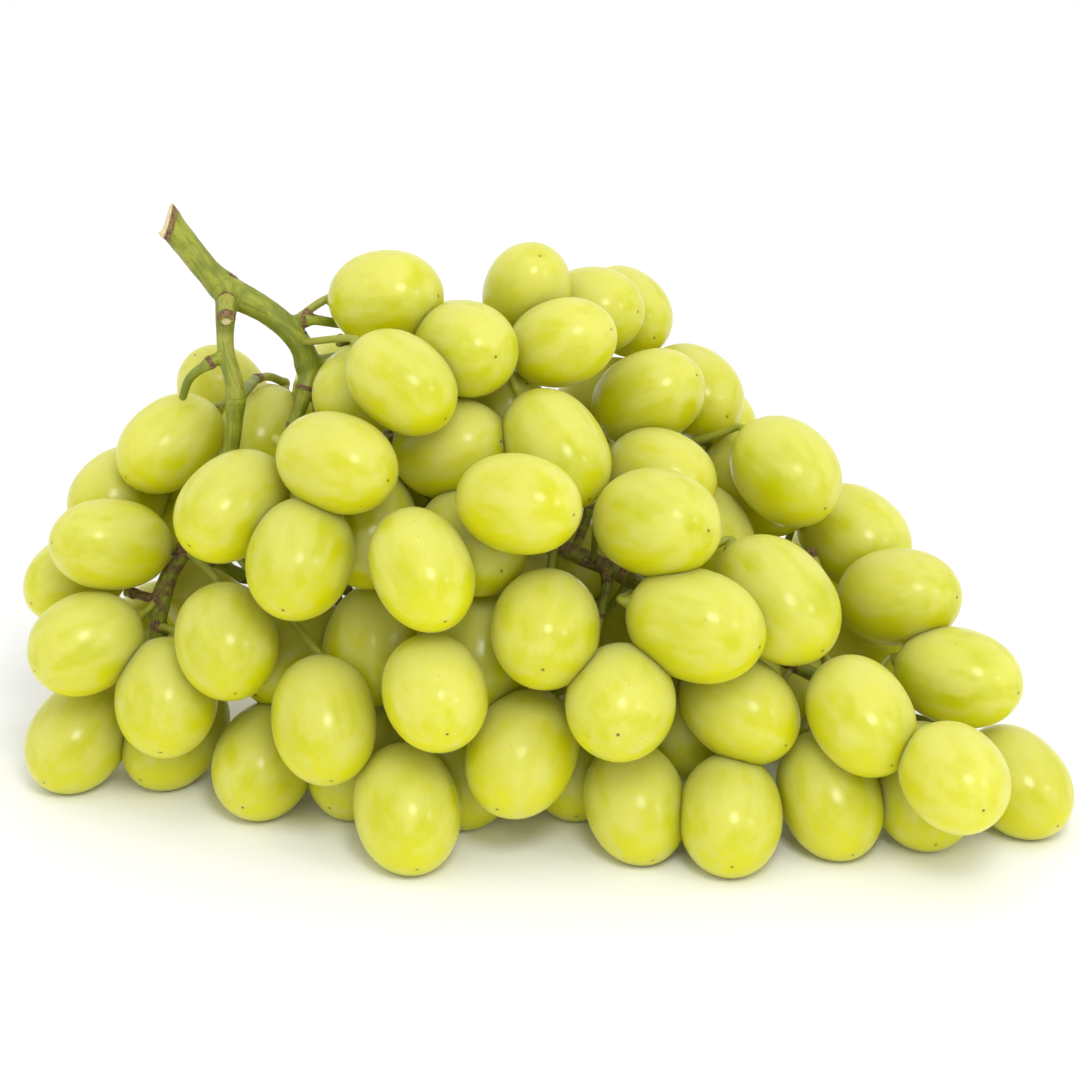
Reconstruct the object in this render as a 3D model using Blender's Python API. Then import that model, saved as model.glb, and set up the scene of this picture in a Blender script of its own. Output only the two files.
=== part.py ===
"""A bunch of white table grapes lying on its side, in metres, +Z up.

The bunch is laid out in a frame of its own that leans back by LEAN: across (+X), up the lean, and out to
the front. Each spray is a side branch whose berries are set out by hand as whole millimetres from its tip.
A settling rule then presses the berries of a spray together and keeps them off all the others.
"""

import math

import bmesh
import bpy
import numpy as np

MM = 0.001
SEED = 7

LEAN = math.radians(25)
BERRY_WIDE = 21.4
BERRY_LONG = 28.0
SIZE_SPREAD = 0.02
SLIM_SPREAD = 0.025
TILT_SPREAD = 0.08
BERRY_SIDES = 10
BERRY_RINGS = 5

PRESS = 1.8
LIGHT_PRESS = 0.7
CLEAR = 0.4
STEM_CLEAR = 0.5
LEAST_CLEAR = 0.15
STRAIGHT = 0.96
GROUND_SINK = 0.9
GROUND_CLEAR = 0.4
GROUND_REACH = 5.0
STAND = (-1.4, 25.0, 41.0)

PEDICEL_REACH = 7.0
PEDICEL_MOST = 40.0
FREE_END_LIFT = 33
FACING_LIFT = 60
PEDICEL_RADIUS = 0.85
CUSHION_RADIUS = 1.9
CUSHION_LONG = 2.2
CUSHION_GAP = 0.35
CRUMB = 5.0
LATERAL_RADIUS = 1.3
MOST_TILT = 0.9
SETTLE_STEPS = 420

# Stems as (across, up, out, radius), from the cut end onwards.
PEDUNCLE = ((-76, 66, 36, 2.9), (-72, 61, 35, 2.7), (-68, 56, 34, 2.8), (-64, 52, 32, 3.3))
RACHIS = (
    (-64, 52, 32, 3.0), (-55, 47, 30, 2.6), (-49, 41, 28, 2.5), (-45, 31, 24, 2.4), (-34, 18, 22, 2.2),
    (-16, 8, 24, 2.0), (4, -1, 27, 1.9), (20, -8, 27, 1.8), (38, -17, 25, 1.7), (54, -26, 26, 1.6),
    (68, -33, 29, 1.4), (75, -37, 32, 1.2),
)
SHOULDER = (
    (-64, 52, 32, 2.4), (-64, 40, 34, 1.9), (-62, 29, 33, 1.8), (-65, 12, 27, 1.7), (-73, -2, 24, 1.5),
    (-79, -12, 22, 1.4), (-80, -24, 20, 1.2),
)
TRUNKS = {"rachis": RACHIS, "shoulder": SHOULDER}
CUT_NORMAL = (-0.95, 0.25, 0.2)
STUBS = (((-64, 50, 33), (-63, 46, 39), 1.6),)

# Each spray: the trunk it leaves, its middle and a size for its berries. Then each berry: its centre from
# that middle, and the hour its free end points to on a clock that faces the front. Hour 0 is at the viewer.
SPRAYS = {
    "neck": ("shoulder", (-58, 32, 4), 0.87, ((1, -10, 8, 7), (16, 1, 2, 7), (-10, 0, -8, 11))),
    "collar": ("rachis", (-30, 38, 26), 0.91, (
        (-1, 11, 7, 3), (-7, -8, 3, 8), (1, -7, 27, 4.5), (18, -4, 13, 4))),
    "crest": ("rachis", (0, 42, 8), 0.84, (
        (-17, -1, 10, 3), (-7, 13, 17, 1), (6, -4, 30, 2), (14, 6, 8, 3), (22, 5, -12, 4.5))),
    "saddle": ("rachis", (24, 20, 8), 0.91, (
        (-4, 11, 18, 2.5), (12, 12, 0, 4.5), (16, 0, -20, 4.5), (2, -8, 24, 4), (14, -22, 12, 5))),
    "heart": ("rachis", (-10, 8, 34), 0.97, (
        (14, 10, 10, 4.5), (-9, 10, 5, 2.5), (7, 0, 29, 3), (-13, -14, 27, 5), (1, -11, 10, 5),
        (2, 16, -12, 1))),
    "brow": ("rachis", (-46, 6, 32), 1.0, (
        (6, 10, 22, 3.5), (0, -10, 19, 7), (-16, 1, 12, 7.5), (15, -3, 4, 6))),
    "belt": ("rachis", (24, -10, 38), 1.04, (
        (0, 14, 17, 3.5), (8, -7, 20, 3.5), (26, -2, 7, 4.5), (-7, -23, 20, 0), (-29, -1, 15, 5.5))),
    "hollow": ("rachis", (30, -20, 10), 0.96, (
        (-22, 16, -6, 4), (-8, 2, -4, 5), (9, -5, -6, 5), (26, -11, -4, 5))),
    "flank": ("rachis", (58, -2, 16), 0.97, (
        (-6, 16, 11, 4.5), (-16, 18, -8, 5), (9, 2, -6, 4), (18, -10, 9, 3), (29, -25, 18, 4))),
    "tail": ("rachis", (77, -40, 34), 1.0, (
        (-10, 9, 19, 5), (8, -9, 25, 4.5), (19, -9, 1, 4.5), (-17, -12, 6, 5.5), (1, -12, -2, 6))),
    "foot_right": ("rachis", (28, -38, 36), 0.99, (
        (14, 4, 8, 4.5), (12, -17, 11, 5.5), (-8, -13, 6, 5.5), (-21, -14, -6, 6), (2, 0, -10, 5))),
    "keel": ("rachis", (-12, -38, 38), 1.02, (
        (9, -6, 1, 7), (2, 12, -2, 6), (-9, 7, 21, 0), (-1, -16, -12, 6), (-13, -16, 6, 5.5))),
    "cheek": ("rachis", (-44, -32, 30), 1.0, (
        (1, -5, 17, 6), (-10, -12, -2, 6.5), (11, 13, 2, 7), (7, -18, -5, 7), (-6, 11, -8, 7))),
    "wing_low": ("shoulder", (-80, -24, 18), 0.98, (
        (19, 5, 24, 5.5), (2, -9, 15, 6), (5, -15, -6, 7), (-14, 3, 12, 8), (-17, -16, -2, 7.5))),
    "wing_left": ("shoulder", (-82, -2, 8), 0.89, (
        (8, 24, 16, 8), (-6, 12, 4, 7.5), (-5, 1, 20, 9), (-16, -9, 3, 8), (9, 11, -6, 7), (12, -8, 0, 6),
        (-2, -19, -12, 7))),
}

# Berries deep inside, which join their spray last: the centre from its middle, and the hour, as above.
INNER = {"saddle": ((-10, 9, -10, 2),), "hollow": ((42, 2, -8, 4.5),)}

# The far side: behind each berry stands another where there is room, in groups that hold together.
BACK_STEPS = range(19, 64)
BACK_DEEPEST = 51.0
BACK_FURTHEST = 50.0
BACK_HIGHEST = 78.0
BACK_SPACING = 1.02
BACK_MOST = 22
BACK_ACROSS = (-76.4, 73.6)
BACK_GROUP = 6
BACK_SIZE = 0.98


def lay(point):
    """World millimetres of a point given across, up the lean and out to the front."""
    across, up, out = point
    sin_lean = math.sin(LEAN)
    cos_lean = math.cos(LEAN)
    return np.array((across, up * sin_lean - out * cos_lean, up * cos_lean + out * sin_lean)) + STAND


def unit(vectors):
    return vectors / np.maximum(np.linalg.norm(vectors, axis=-1, keepdims=True), 1e-9)


def smooth_path(path, steps=4):
    """A path of (across, up, out, radius) as world points and radii, rounded through its corners."""
    knots = np.array([(*lay(point[:3]), point[3]) for point in path])
    if len(knots) == 2:
        knots = np.array([knots[0], knots.mean(axis=0), knots[1]])
    ends = np.vstack([2 * knots[0] - knots[1], knots, 2 * knots[-1] - knots[-2]])
    rows = []
    for index in range(1, len(ends) - 2):
        before, start, end, after = ends[index - 1:index + 3]
        for step in range(steps):
            t = step / steps
            rows.append(0.5 * (2 * start + (end - before) * t
                               + (2 * before - 5 * start + 4 * end - after) * t ** 2
                               + (3 * start - before - 3 * end + after) * t ** 3))
    rows.append(knots[-1])
    rows = np.array(rows)
    return rows[:, :3], rows[:, 3]


def lateral_of(trunk, tip):
    """World points of a side branch: it leaves the trunk a little above the trunk's nearest point."""
    points, radii = smooth_path(TRUNKS[trunk], 2)
    end = lay(tip)
    away = np.linalg.norm(points - end, axis=1)
    nearest = int(np.argmin(away))
    back = max(0, nearest - int(away[nearest] / 15))
    start = points[back]
    if np.linalg.norm(end - start) < 4:
        return points[max(0, back - 3):back + 1]
    lean = unit(end - start) * 0.55 + unit(points[back] - points[max(0, back - 1)] + 1e-6) * 0.45
    middle = start + lean * np.linalg.norm(end - start) * 0.5
    t = np.linspace(0, 1, 7)[:, None]
    return (1 - t) ** 2 * start + 2 * t * (1 - t) * middle + t ** 2 * end


def free_end(hour):
    """The way a berry's free end points, for an hour on a clock that faces the front."""
    lift = math.radians(FREE_END_LIFT if hour else FACING_LIFT)
    turn = math.radians(hour * 30 if hour else 180)
    flat = math.cos(lift)
    return lay((flat * math.sin(turn), flat * math.cos(turn), math.sin(lift))) - lay((0, 0, 0))


def hidden_side(front, rng):
    """Places for the berries of the far side, each straight behind one of the front, and the way each points."""
    out = lay((0, 0, 1)) - lay((0, 0, 0))
    stem = smooth_path(RACHIS, 2)[0]
    taken = list(front)
    found = []
    for centre in sorted(front, key=lambda place: place[2]):
        for step in BACK_STEPS:
            place = centre - out * step + rng.normal(0, 0.8, 3)
            place[2] = max(place[2], BERRY_WIDE * 0.48)
            clear = np.linalg.norm(np.array(taken) - place, axis=1).min() > BERRY_WIDE * BACK_SPACING
            away = np.linalg.norm(stem - place, axis=1)
            off_stem = away.min() > BERRY_WIDE * 0.62
            if clear and off_stem:
                break
        inside = BACK_ACROSS[0] < place[0] < BACK_ACROSS[1] and place[1] < BACK_DEEPEST
        inside = inside and place[2] < BACK_HIGHEST
        if clear and off_stem and inside and away.min() < BACK_FURTHEST:
            taken.append(place)
            found.append((place, unit(place - stem[int(np.argmin(away))] - 8 * out)))
        if len(found) == BACK_MOST:
            break
    return found


def back_groups(found):
    """Parts the far side's berries into groups of near neighbours."""
    groups = []
    for place, end in found:
        near = [min(np.linalg.norm(place - other) for other, _ in group) for group in groups]
        full = [len(group) >= BACK_GROUP for group in groups]
        fit = [index for index in range(len(groups)) if near[index] < BERRY_WIDE * 1.35 and not full[index]]
        if fit:
            groups[min(fit, key=lambda index: near[index])].append((place, end))
        else:
            groups.append([(place, end)])
    return groups


def ellipsoid_reach(long_half, wide_half, axis, direction):
    """How far an ellipsoid reaches from its centre along a direction."""
    along = (axis * direction).sum(axis=-1)
    return np.sqrt(wide_half ** 2 + (long_half ** 2 - wide_half ** 2) * along ** 2)


def ellipsoid_tip(long_half, wide_half, axis, direction):
    """The ellipsoid's furthest point along a direction, from its centre."""
    along = (axis * direction).sum(axis=-1, keepdims=True)
    reach = ellipsoid_reach(long_half, wide_half, axis, direction)[..., None]
    wide = np.asarray(wide_half)[..., None]
    tall = np.asarray(long_half)[..., None]
    return (wide ** 2 * direction + (tall ** 2 - wide ** 2) * along * axis) / reach


def random_shapes(rng, count):
    """Size, slimness, tilt and spin of that many berries."""
    spread = 1 + rng.normal(0, SIZE_SPREAD, count)
    slim = 1 + rng.normal(0, SLIM_SPREAD, count)
    return spread, slim, rng.normal(0, TILT_SPREAD, (count, 3)), rng.uniform(0, 2 * math.pi, count)


def without_straights(points):
    """The points of a path that it needs for its bends, with its two ends."""
    kept = [points[0]]
    for index in range(1, len(points) - 1):
        if unit(points[index] - kept[-1]) @ unit(points[index + 1] - points[index]) < STRAIGHT:
            kept.append(points[index])
    return np.array(kept + [points[-1]])


class Bunch:
    """The berries' centres, axes and sizes, and the rule that settles them."""

    def __init__(self):
        rng = np.random.default_rng(SEED)
        centres = []
        sizes = []
        ends = []
        self.spray = []
        self.laterals = {}
        self.trunk = {}
        for name, (trunk, tip, size, berries) in SPRAYS.items():
            self.laterals[name] = lateral_of(trunk, tip)
            self.trunk[name] = trunk
            for berry in berries:
                centres.append(lay(np.array(tip) + berry[:3]))
                sizes.append(size)
                ends.append(free_end(berry[3]))
                self.spray.append(name)
        trunk_points = smooth_path(RACHIS)[0]
        front = np.array(centres)
        front_spray = list(self.spray)
        for number, group in enumerate(back_groups(hidden_side(front, rng))):
            name = f"back_{number + 1}"
            middle = np.mean([place for place, end in group], axis=0)
            if len(group) == 1:
                name = front_spray[int(np.argmin(np.linalg.norm(front - middle, axis=1)))]
            else:
                nearest = trunk_points[int(np.argmin(np.linalg.norm(trunk_points - middle, axis=1)))]
                self.laterals[name] = np.linspace(nearest, nearest + (middle - nearest) * 0.5, 5)
                self.trunk[name] = "rachis"
            for place, end in group:
                centres.append(place)
                sizes.append(BACK_SIZE)
                ends.append(end)
                self.spray.append(name)
        draws = [random_shapes(rng, len(centres))]
        for name, berries in INNER.items():
            trunk, tip, size, _ = SPRAYS[name]
            for berry in berries:
                centres.append(lay(np.array(tip) + berry[:3]))
                sizes.append(size)
                ends.append(free_end(berry[3]))
                self.spray.append(name)
                draws.append(random_shapes(rng, 1))
        self.count = len(centres)
        self.home = np.array(centres)
        self.centre = self.home.copy()
        self.spray = np.array(self.spray)
        spread, slim, self.tilt, self.spin = (np.concatenate(column) for column in zip(*draws))
        size = np.array(sizes) * spread
        self.wide = BERRY_WIDE / 2 * size / np.sqrt(slim)
        self.long = BERRY_LONG / 2 * size * slim
        self.stems = self.stem_segments()
        self.free_end = np.array(ends)
        self.turn_axes()
        self.links = self.spray_links()
        self.linked = np.zeros((self.count, self.count), bool)
        self.linked[self.links[:, 0], self.links[:, 1]] = True
        self.linked |= self.linked.T
        low = self.centre[:, 2] - ellipsoid_reach(self.long, self.wide, self.axis, np.array((0, 0, 1.0)))
        self.grounded = low < GROUND_REACH

    def stem_segments(self):
        rows = []
        for path in (PEDUNCLE, RACHIS, SHOULDER):
            points, radii = smooth_path(path, 3)
            for start, end, radius in zip(points[:-1], points[1:], radii[1:]):
                rows.append((*start, *end, radius))
        return np.array(rows)

    def stem_points(self, name):
        return np.vstack([self.laterals[name], smooth_path(TRUNKS[self.trunk[name]], 2)[0]])

    def turn_axes(self):
        self.axis = unit(self.free_end + self.tilt)

    def gaps(self, first, second):
        """Gap and direction from each first berry to its second one."""
        apart = self.centre[second] - self.centre[first]
        direction = unit(apart)
        for _ in range(5):
            tips = (ellipsoid_tip(self.long[first], self.wide[first], self.axis[first], direction)
                    + ellipsoid_tip(self.long[second], self.wide[second], self.axis[second], direction))
            slope = apart - tips
            slope = slope - (slope * direction).sum(axis=1, keepdims=True) * direction
            direction = unit(direction + 0.6 * slope / np.linalg.norm(apart, axis=1, keepdims=True))
        gap = (apart * direction).sum(axis=1)
        gap = gap - ellipsoid_reach(self.long[first], self.wide[first], self.axis[first], direction)
        gap = gap - ellipsoid_reach(self.long[second], self.wide[second], self.axis[second], direction)
        return gap, direction

    def spray_links(self):
        """For each spray, the shortest set of neighbour pairs that joins all its berries."""
        links = []
        for name in dict.fromkeys(self.spray):
            members = list(np.flatnonzero(self.spray == name))
            joined = [members.pop(0)]
            while members:
                first, second = np.meshgrid(joined, members)
                first = first.ravel()
                second = second.ravel()
                best = int(np.argmin(self.gaps(first, second)[0]))
                links.append((first[best], second[best]))
                joined.append(second[best])
                members.remove(second[best])
        return np.array(links)

    def push_pairs(self, move):
        first, second = np.triu_indices(self.count, 1)
        close = np.linalg.norm(self.centre[first] - self.centre[second], axis=1) < BERRY_LONG * 1.3
        first = first[close]
        second = second[close]
        gap, direction = self.gaps(first, second)
        sibling = self.spray[first] == self.spray[second]
        linked = self.linked[first, second]
        wanted = np.where(linked, -PRESS, np.where(sibling, -LIGHT_PRESS, CLEAR))
        short = np.maximum(wanted - gap, 0)
        step = direction * (short * 0.5)[:, None]
        np.add.at(move, first, -step)
        np.add.at(move, second, step)
        gap, direction = self.gaps(self.links[:, 0], self.links[:, 1])
        slack = np.maximum(gap + PRESS, 0)
        step = direction * (slack * 0.5)[:, None]
        np.add.at(move, self.links[:, 0], step)
        np.add.at(move, self.links[:, 1], -step)
        return short.max(), slack.max()

    def pole(self):
        """The end of each berry where its pedicel meets it."""
        return self.centre - self.axis * self.long[:, None]

    def push_stems(self, move):
        start = self.stems[None, :, 0:3]
        span = self.stems[None, :, 3:6] - start
        away = self.centre[:, None] - start
        share = (away * span).sum(-1) / np.maximum((span ** 2).sum(-1), 1e-9)
        nearest = start + np.clip(share, 0, 1)[..., None] * span
        direction = self.centre[:, None] - nearest
        distance = np.linalg.norm(direction, axis=-1)
        direction = direction / np.maximum(distance, 1e-6)[..., None]
        reach = ellipsoid_reach(self.long[:, None], self.wide[:, None], self.axis[:, None], direction)
        short = np.maximum(reach + self.stems[None, :, 6] + STEM_CLEAR - distance, 0)
        pressed = np.maximum((short > 0).sum(axis=1), 1)[:, None]
        move += (direction * short[..., None]).sum(axis=1) / pressed
        return short.max()

    def free_poles(self, move):
        """Leans each berry until the cushion at its pole is clear of the other berries."""
        spot = self.pole() - self.axis * 1.6
        apart = spot[:, None] - self.centre[None]
        distance = np.linalg.norm(apart, axis=-1)
        direction = apart / np.maximum(distance, 1e-6)[..., None]
        reach = ellipsoid_reach(self.long[None], self.wide[None], self.axis[None], direction)
        short = np.maximum(reach + CUSHION_RADIUS + CLEAR + 0.2 - distance, 0)
        np.fill_diagonal(short, 0)
        push = (direction * short[..., None]).sum(axis=1)
        self.tilt -= 0.02 * push
        size = np.linalg.norm(self.tilt, axis=1, keepdims=True)
        self.tilt *= np.minimum(1, MOST_TILT / np.maximum(size, 1e-6))
        return short.max()

    def push_ground(self, move):
        reach = ellipsoid_reach(self.long, self.wide, self.axis, np.array((0, 0, 1.0)))
        low = self.centre[:, 2] - reach
        lift = np.where(self.grounded, -GROUND_SINK - low, np.maximum(GROUND_CLEAR - low, 0))
        move[:, 2] += lift
        return np.abs(lift).max()

    def depth_in_berries(self, points, radius):
        """How deep a stem of a radius stands in each berry at each point, and the way out."""
        apart = points[:, None] - self.centre[None]
        distance = np.linalg.norm(apart, axis=-1)
        direction = apart / np.maximum(distance, 1e-6)[..., None]
        reach = ellipsoid_reach(self.long[None], self.wide[None], self.axis[None], direction)
        return np.maximum(reach + radius + STEM_CLEAR - distance, 0), direction

    def route(self, points, radius, held_start, held_end):
        """Bends a stem clear of the berries: each point is pushed out of them and drawn to its neighbours."""
        points = points.copy()
        last = len(points) - held_end
        for step in range(120):
            depth, direction = self.depth_in_berries(points, radius)
            push = (direction * depth[..., None]).sum(axis=1)
            points[held_start:last] += 0.5 * push[held_start:last]
            middle = np.zeros_like(points)
            middle[1:-1] = (points[:-2] + points[2:]) / 2 - points[1:-1]
            points[held_start:last] += 0.3 * middle[held_start:last]
        depth = self.depth_in_berries(points[held_start:last], radius)[0]
        return points, float(depth.max()) if depth.size else 0.0

    def is_clear(self, points, radius):
        """Whether a stem along these points passes every berry with room to spare."""
        steps = np.linspace(0, 1, 6)[:, None, None]
        places = (points[:-1] * (1 - steps) + points[1:] * steps).reshape(-1, 3)
        return self.depth_in_berries(places, radius)[0].max() < STEM_CLEAR - LEAST_CLEAR

    def fewest_points(self, points, radius):
        """The same path with the points on its straights left out, where that keeps it clear."""
        kept = without_straights(points)
        return kept if self.is_clear(kept, radius) else points

    def grow_stems(self):
        """Routes the side branches, then a pedicel to each berry from the handiest place on them."""
        for name, points in self.laterals.items():
            points = self.route(points, LATERAL_RADIUS, 1, 0)[0]
            while len(points) > 2 and not self.is_clear(points[1:], LATERAL_RADIUS * 1.15):
                points = self.route(points[:-1], LATERAL_RADIUS, 1, 0)[0]
            self.laterals[name] = self.fewest_points(points, LATERAL_RADIUS * 1.15)
        places = np.vstack([smooth_path(path, 2)[0] for path in TRUNKS.values()] + list(self.laterals.values()))
        ends = self.pole() - self.axis * CUSHION_GAP
        necks = ends - self.axis * CUSHION_LONG
        self.pedicels = {}
        waiting = list(range(self.count))
        while waiting:
            away = [np.linalg.norm(places - necks[i], axis=1).min() for i in waiting]
            i = waiting.pop(int(np.argmin(away)))
            line = self.best_pedicel(places, necks[i])
            length = np.linalg.norm(np.diff(line, axis=0), axis=1).sum()
            if length > PEDICEL_MOST or not self.is_clear(line, PEDICEL_RADIUS):
                print(f"no way through for the pedicel of berry {i}, {self.spray[i]}")
                continue
            line = self.fewest_points(line, PEDICEL_RADIUS)
            self.pedicels[i] = np.vstack([line, ends[i]])
            places = np.vstack([places, line[1:-2]])

    def best_pedicel(self, places, neck):
        """The best way from any of the places on the stems to a berry's neck, and how near it passes."""
        lines = [np.linspace(place, neck, 7) for place in places]
        lengths = np.linalg.norm(places - neck, axis=1)
        lengths = lengths + 3 * np.maximum(PEDICEL_REACH - lengths, 0)
        deep = [self.depth_in_berries(line[1:-1], PEDICEL_RADIUS)[0].max() for line in lines]
        order = np.argsort(lengths + 4 * np.array(deep))[:8]
        best = None
        for index in order:
            line, left = self.route(lines[index], PEDICEL_RADIUS, 1, 1)
            cost = np.linalg.norm(np.diff(line, axis=0), axis=1).sum() + 60 * left
            if best is None or cost < best[0]:
                best = (cost, line)
        return best[1]

    def settle(self):
        for step in range(SETTLE_STEPS):
            move = np.zeros_like(self.centre)
            worst = (*self.push_pairs(move), self.push_stems(move), self.push_ground(move),
                     self.free_poles(move))
            home = max(0.0, 1 - step / (SETTLE_STEPS * 0.7)) * 0.08
            self.centre += 0.55 * move + home * (self.home - self.centre)
            self.turn_axes()
        print("settled: press %.2f link %.2f stem %.2f ground %.2f pole %.2f" % worst)


def new_object(name, vertices, faces):
    mesh = bpy.data.meshes.new(name)
    mesh.from_pydata([tuple(v * MM) for v in vertices], [], faces)
    mesh.update()
    return bpy.data.objects.new(name, mesh)


def square_frame(axis):
    """Two directions square to an axis."""
    helper = np.array((0, 0, 1.0)) if abs(axis[2]) < 0.8 else np.array((1.0, 0, 0))
    side = unit(np.cross(axis, helper))
    return side, np.cross(axis, side)


def berry_mesh(centre, axis, long_half, wide_half, spin):
    side, other = square_frame(axis)
    vertices = [centre - axis * long_half]
    for ring in range(1, BERRY_RINGS + 1):
        polar = math.pi * ring / (BERRY_RINGS + 1)
        height = -math.cos(polar) * long_half
        radius = math.sin(polar) * wide_half
        for index in range(BERRY_SIDES):
            turn = spin + 2 * math.pi * (index + 0.5 * (ring % 2)) / BERRY_SIDES
            vertices.append(centre + axis * height + radius * (math.cos(turn) * side + math.sin(turn) * other))
    vertices.append(centre + axis * long_half)
    faces = []
    last = len(vertices) - 1
    for index in range(BERRY_SIDES):
        after = (index + 1) % BERRY_SIDES
        faces.append((0, 1 + after, 1 + index))
        base = 1 + (BERRY_RINGS - 1) * BERRY_SIDES
        faces.append((last, base + index, base + after))
    for ring in range(BERRY_RINGS - 1):
        low = 1 + ring * BERRY_SIDES
        high = low + BERRY_SIDES
        for index in range(BERRY_SIDES):
            after = (index + 1) % BERRY_SIDES
            if ring % 2 == 0:
                faces.append((low + index, low + after, high + index))
                faces.append((low + after, high + after, high + index))
            else:
                faces.append((low + index, low + after, high + after))
                faces.append((low + index, high + after, high + index))
    return vertices, faces


def shell_volume(faces):
    volume = 0.0
    for face in faces:
        corners = [vert.co for vert in face.verts]
        for second, third in zip(corners[1:-1], corners[2:]):
            volume += corners[0].dot(second.cross(third)) / 6
    return volume


def drop_crumbs(mesh):
    """Drops what a union can leave behind: the lining of a sealed pocket, or a crumb."""
    work = bmesh.new()
    work.from_mesh(mesh)
    waiting = set(work.verts)
    while waiting:
        shell = {waiting.pop()}
        edge = list(shell)
        while edge:
            vert = edge.pop()
            for link in vert.link_edges:
                other = link.other_vert(vert)
                if other not in shell:
                    shell.add(other)
                    edge.append(other)
        waiting -= shell
        faces = {face for vert in shell for face in vert.link_faces}
        if shell_volume(faces) < CRUMB * MM ** 3:
            bmesh.ops.delete(work, geom=list(shell), context="VERTS")
    work.to_mesh(mesh)
    work.free()


def cut_flat(obj):
    """Cuts the berry off level at z = 0, where it rests."""
    work = bmesh.new()
    work.from_mesh(obj.data)
    parts = work.verts[:] + work.edges[:] + work.faces[:]
    bmesh.ops.bisect_plane(work, geom=parts, plane_co=(0, 0, 0), plane_no=(0, 0, -1), clear_outer=True)
    bmesh.ops.holes_fill(work, edges=work.edges[:])
    bmesh.ops.recalc_face_normals(work, faces=work.faces[:])
    work.to_mesh(obj.data)
    work.free()


def tube(points, radii, sides, end_normal=None, spin=0.0):
    """A closed tube along points. An end normal cuts its first end on the slant."""
    points = np.asarray(points, float)
    tangents = unit(np.gradient(points, axis=0))
    side = square_frame(tangents[0])[0]
    vertices = []
    for index, (point, tangent, radius) in enumerate(zip(points, tangents, radii)):
        side = unit(side - tangent * (side @ tangent))
        other = np.cross(tangent, side)
        for corner in range(sides):
            turn = spin + 2 * math.pi * corner / sides
            offset = radius * (math.cos(turn) * side + math.sin(turn) * other)
            if index == 0 and end_normal is not None:
                offset = offset - tangent * (offset @ end_normal) / (tangent @ end_normal)
            vertices.append(point + offset)
    faces = [tuple(range(sides))[::-1], tuple(range(len(vertices) - sides, len(vertices)))]
    for ring in range(len(points) - 1):
        low = ring * sides
        for corner in range(sides):
            after = (corner + 1) % sides
            faces.append((low + corner, low + after, low + sides + after, low + sides + corner))
    return vertices, faces


def fuse(name, solids):
    """Joins solids into one body with a single Boolean union, and drops the helpers."""
    base = solids[0]
    bpy.context.scene.collection.objects.link(base)
    if len(solids) == 1:
        base.name = name
        return base
    group = bpy.data.collections.new(name + "_parts")
    bpy.context.scene.collection.children.link(group)
    for solid in solids[1:]:
        group.objects.link(solid)
    union = base.modifiers.new("union", "BOOLEAN")
    union.operand_type = "COLLECTION"
    union.collection = group
    union.operation = "UNION"
    union.solver = "MANIFOLD"
    bpy.context.view_layer.update()
    graph = bpy.context.evaluated_depsgraph_get()
    mesh = bpy.data.meshes.new_from_object(base.evaluated_get(graph))
    drop_crumbs(mesh)
    base.modifiers.clear()
    base.data = mesh
    base.name = name
    mesh.name = name
    for solid in solids[1:]:
        bpy.data.objects.remove(solid)
    bpy.data.collections.remove(group)
    return base


def plain_material(name, colour, roughness, coat=0.0):
    material = bpy.data.materials.new(name)
    material.use_nodes = True
    shader = material.node_tree.nodes["Principled BSDF"]
    shader.inputs["Base Color"].default_value = (*colour, 1)
    shader.inputs["Roughness"].default_value = roughness
    shader.inputs["Coat Weight"].default_value = coat
    return material


def grape_skin(name):
    return plain_material(name + "_skin", (0.60, 0.62, 0.14), 0.32, 0.25)


def green_stem():
    return plain_material("stalk_green", (0.22, 0.25, 0.06), 0.6)


def build_berries(bunch):
    for name in dict.fromkeys(bunch.spray):
        solids = []
        for i in np.flatnonzero(bunch.spray == name):
            vertices, faces = berry_mesh(bunch.centre[i], bunch.axis[i], bunch.long[i], bunch.wide[i],
                                         bunch.spin[i])
            solid = new_object(f"{name}_{i}", vertices, faces)
            if bunch.grounded[i]:
                cut_flat(solid)
            solids.append(solid)
        node = fuse(f"{name}_berries", solids)
        node.data.materials.clear()
        node.data.materials.append(grape_skin(name))


def pedicel_tube(points):
    """A thin stalk from the branch to the berry's pole, ending in the cushion that the berry sits on."""
    radii = np.full(len(points), PEDICEL_RADIUS)
    radii[-1] = CUSHION_RADIUS
    return tube(points, radii, 5)


def build_stalk(bunch):
    solids = []
    normal = unit(lay(CUT_NORMAL) - lay((0, 0, 0)))
    for label, path, sides, end in (("peduncle", PEDUNCLE, 10, normal), ("rachis", RACHIS, 8, None),
                                    ("shoulder", SHOULDER, 8, None)):
        points, radii = smooth_path(path, 3 if label == "peduncle" else 2)
        solids.append(new_object(label, *tube(points, radii, sides, end)))
    for name, points in bunch.laterals.items():
        radii = np.linspace(LATERAL_RADIUS * 1.15, LATERAL_RADIUS * 0.85, len(points))
        solids.append(new_object(name, *tube(points, radii, 6)))
    for index, (start, end, radius) in enumerate(STUBS):
        points = np.linspace(lay(start), lay(end), 4)
        radii = (radius, radius, radius * 0.95, radius * 1.3)
        solids.append(new_object(f"stub_{index}", *tube(points, radii, 7)))
    for i, points in bunch.pedicels.items():
        solids.append(new_object(f"pedicel_{i}", *pedicel_tube(points)))
    stalk = fuse("stalk", solids)
    stalk.data.materials.clear()
    stalk.data.materials.append(green_stem())


def main():
    for obj in list(bpy.data.objects):
        bpy.data.objects.remove(obj)
    bunch = Bunch()
    bunch.settle()
    bunch.grow_stems()
    build_berries(bunch)
    build_stalk(bunch)


main()
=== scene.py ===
import math

import bmesh
import bpy
import numpy as np
from mathutils import Matrix, Vector
from mathutils.kdtree import KDTree


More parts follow.
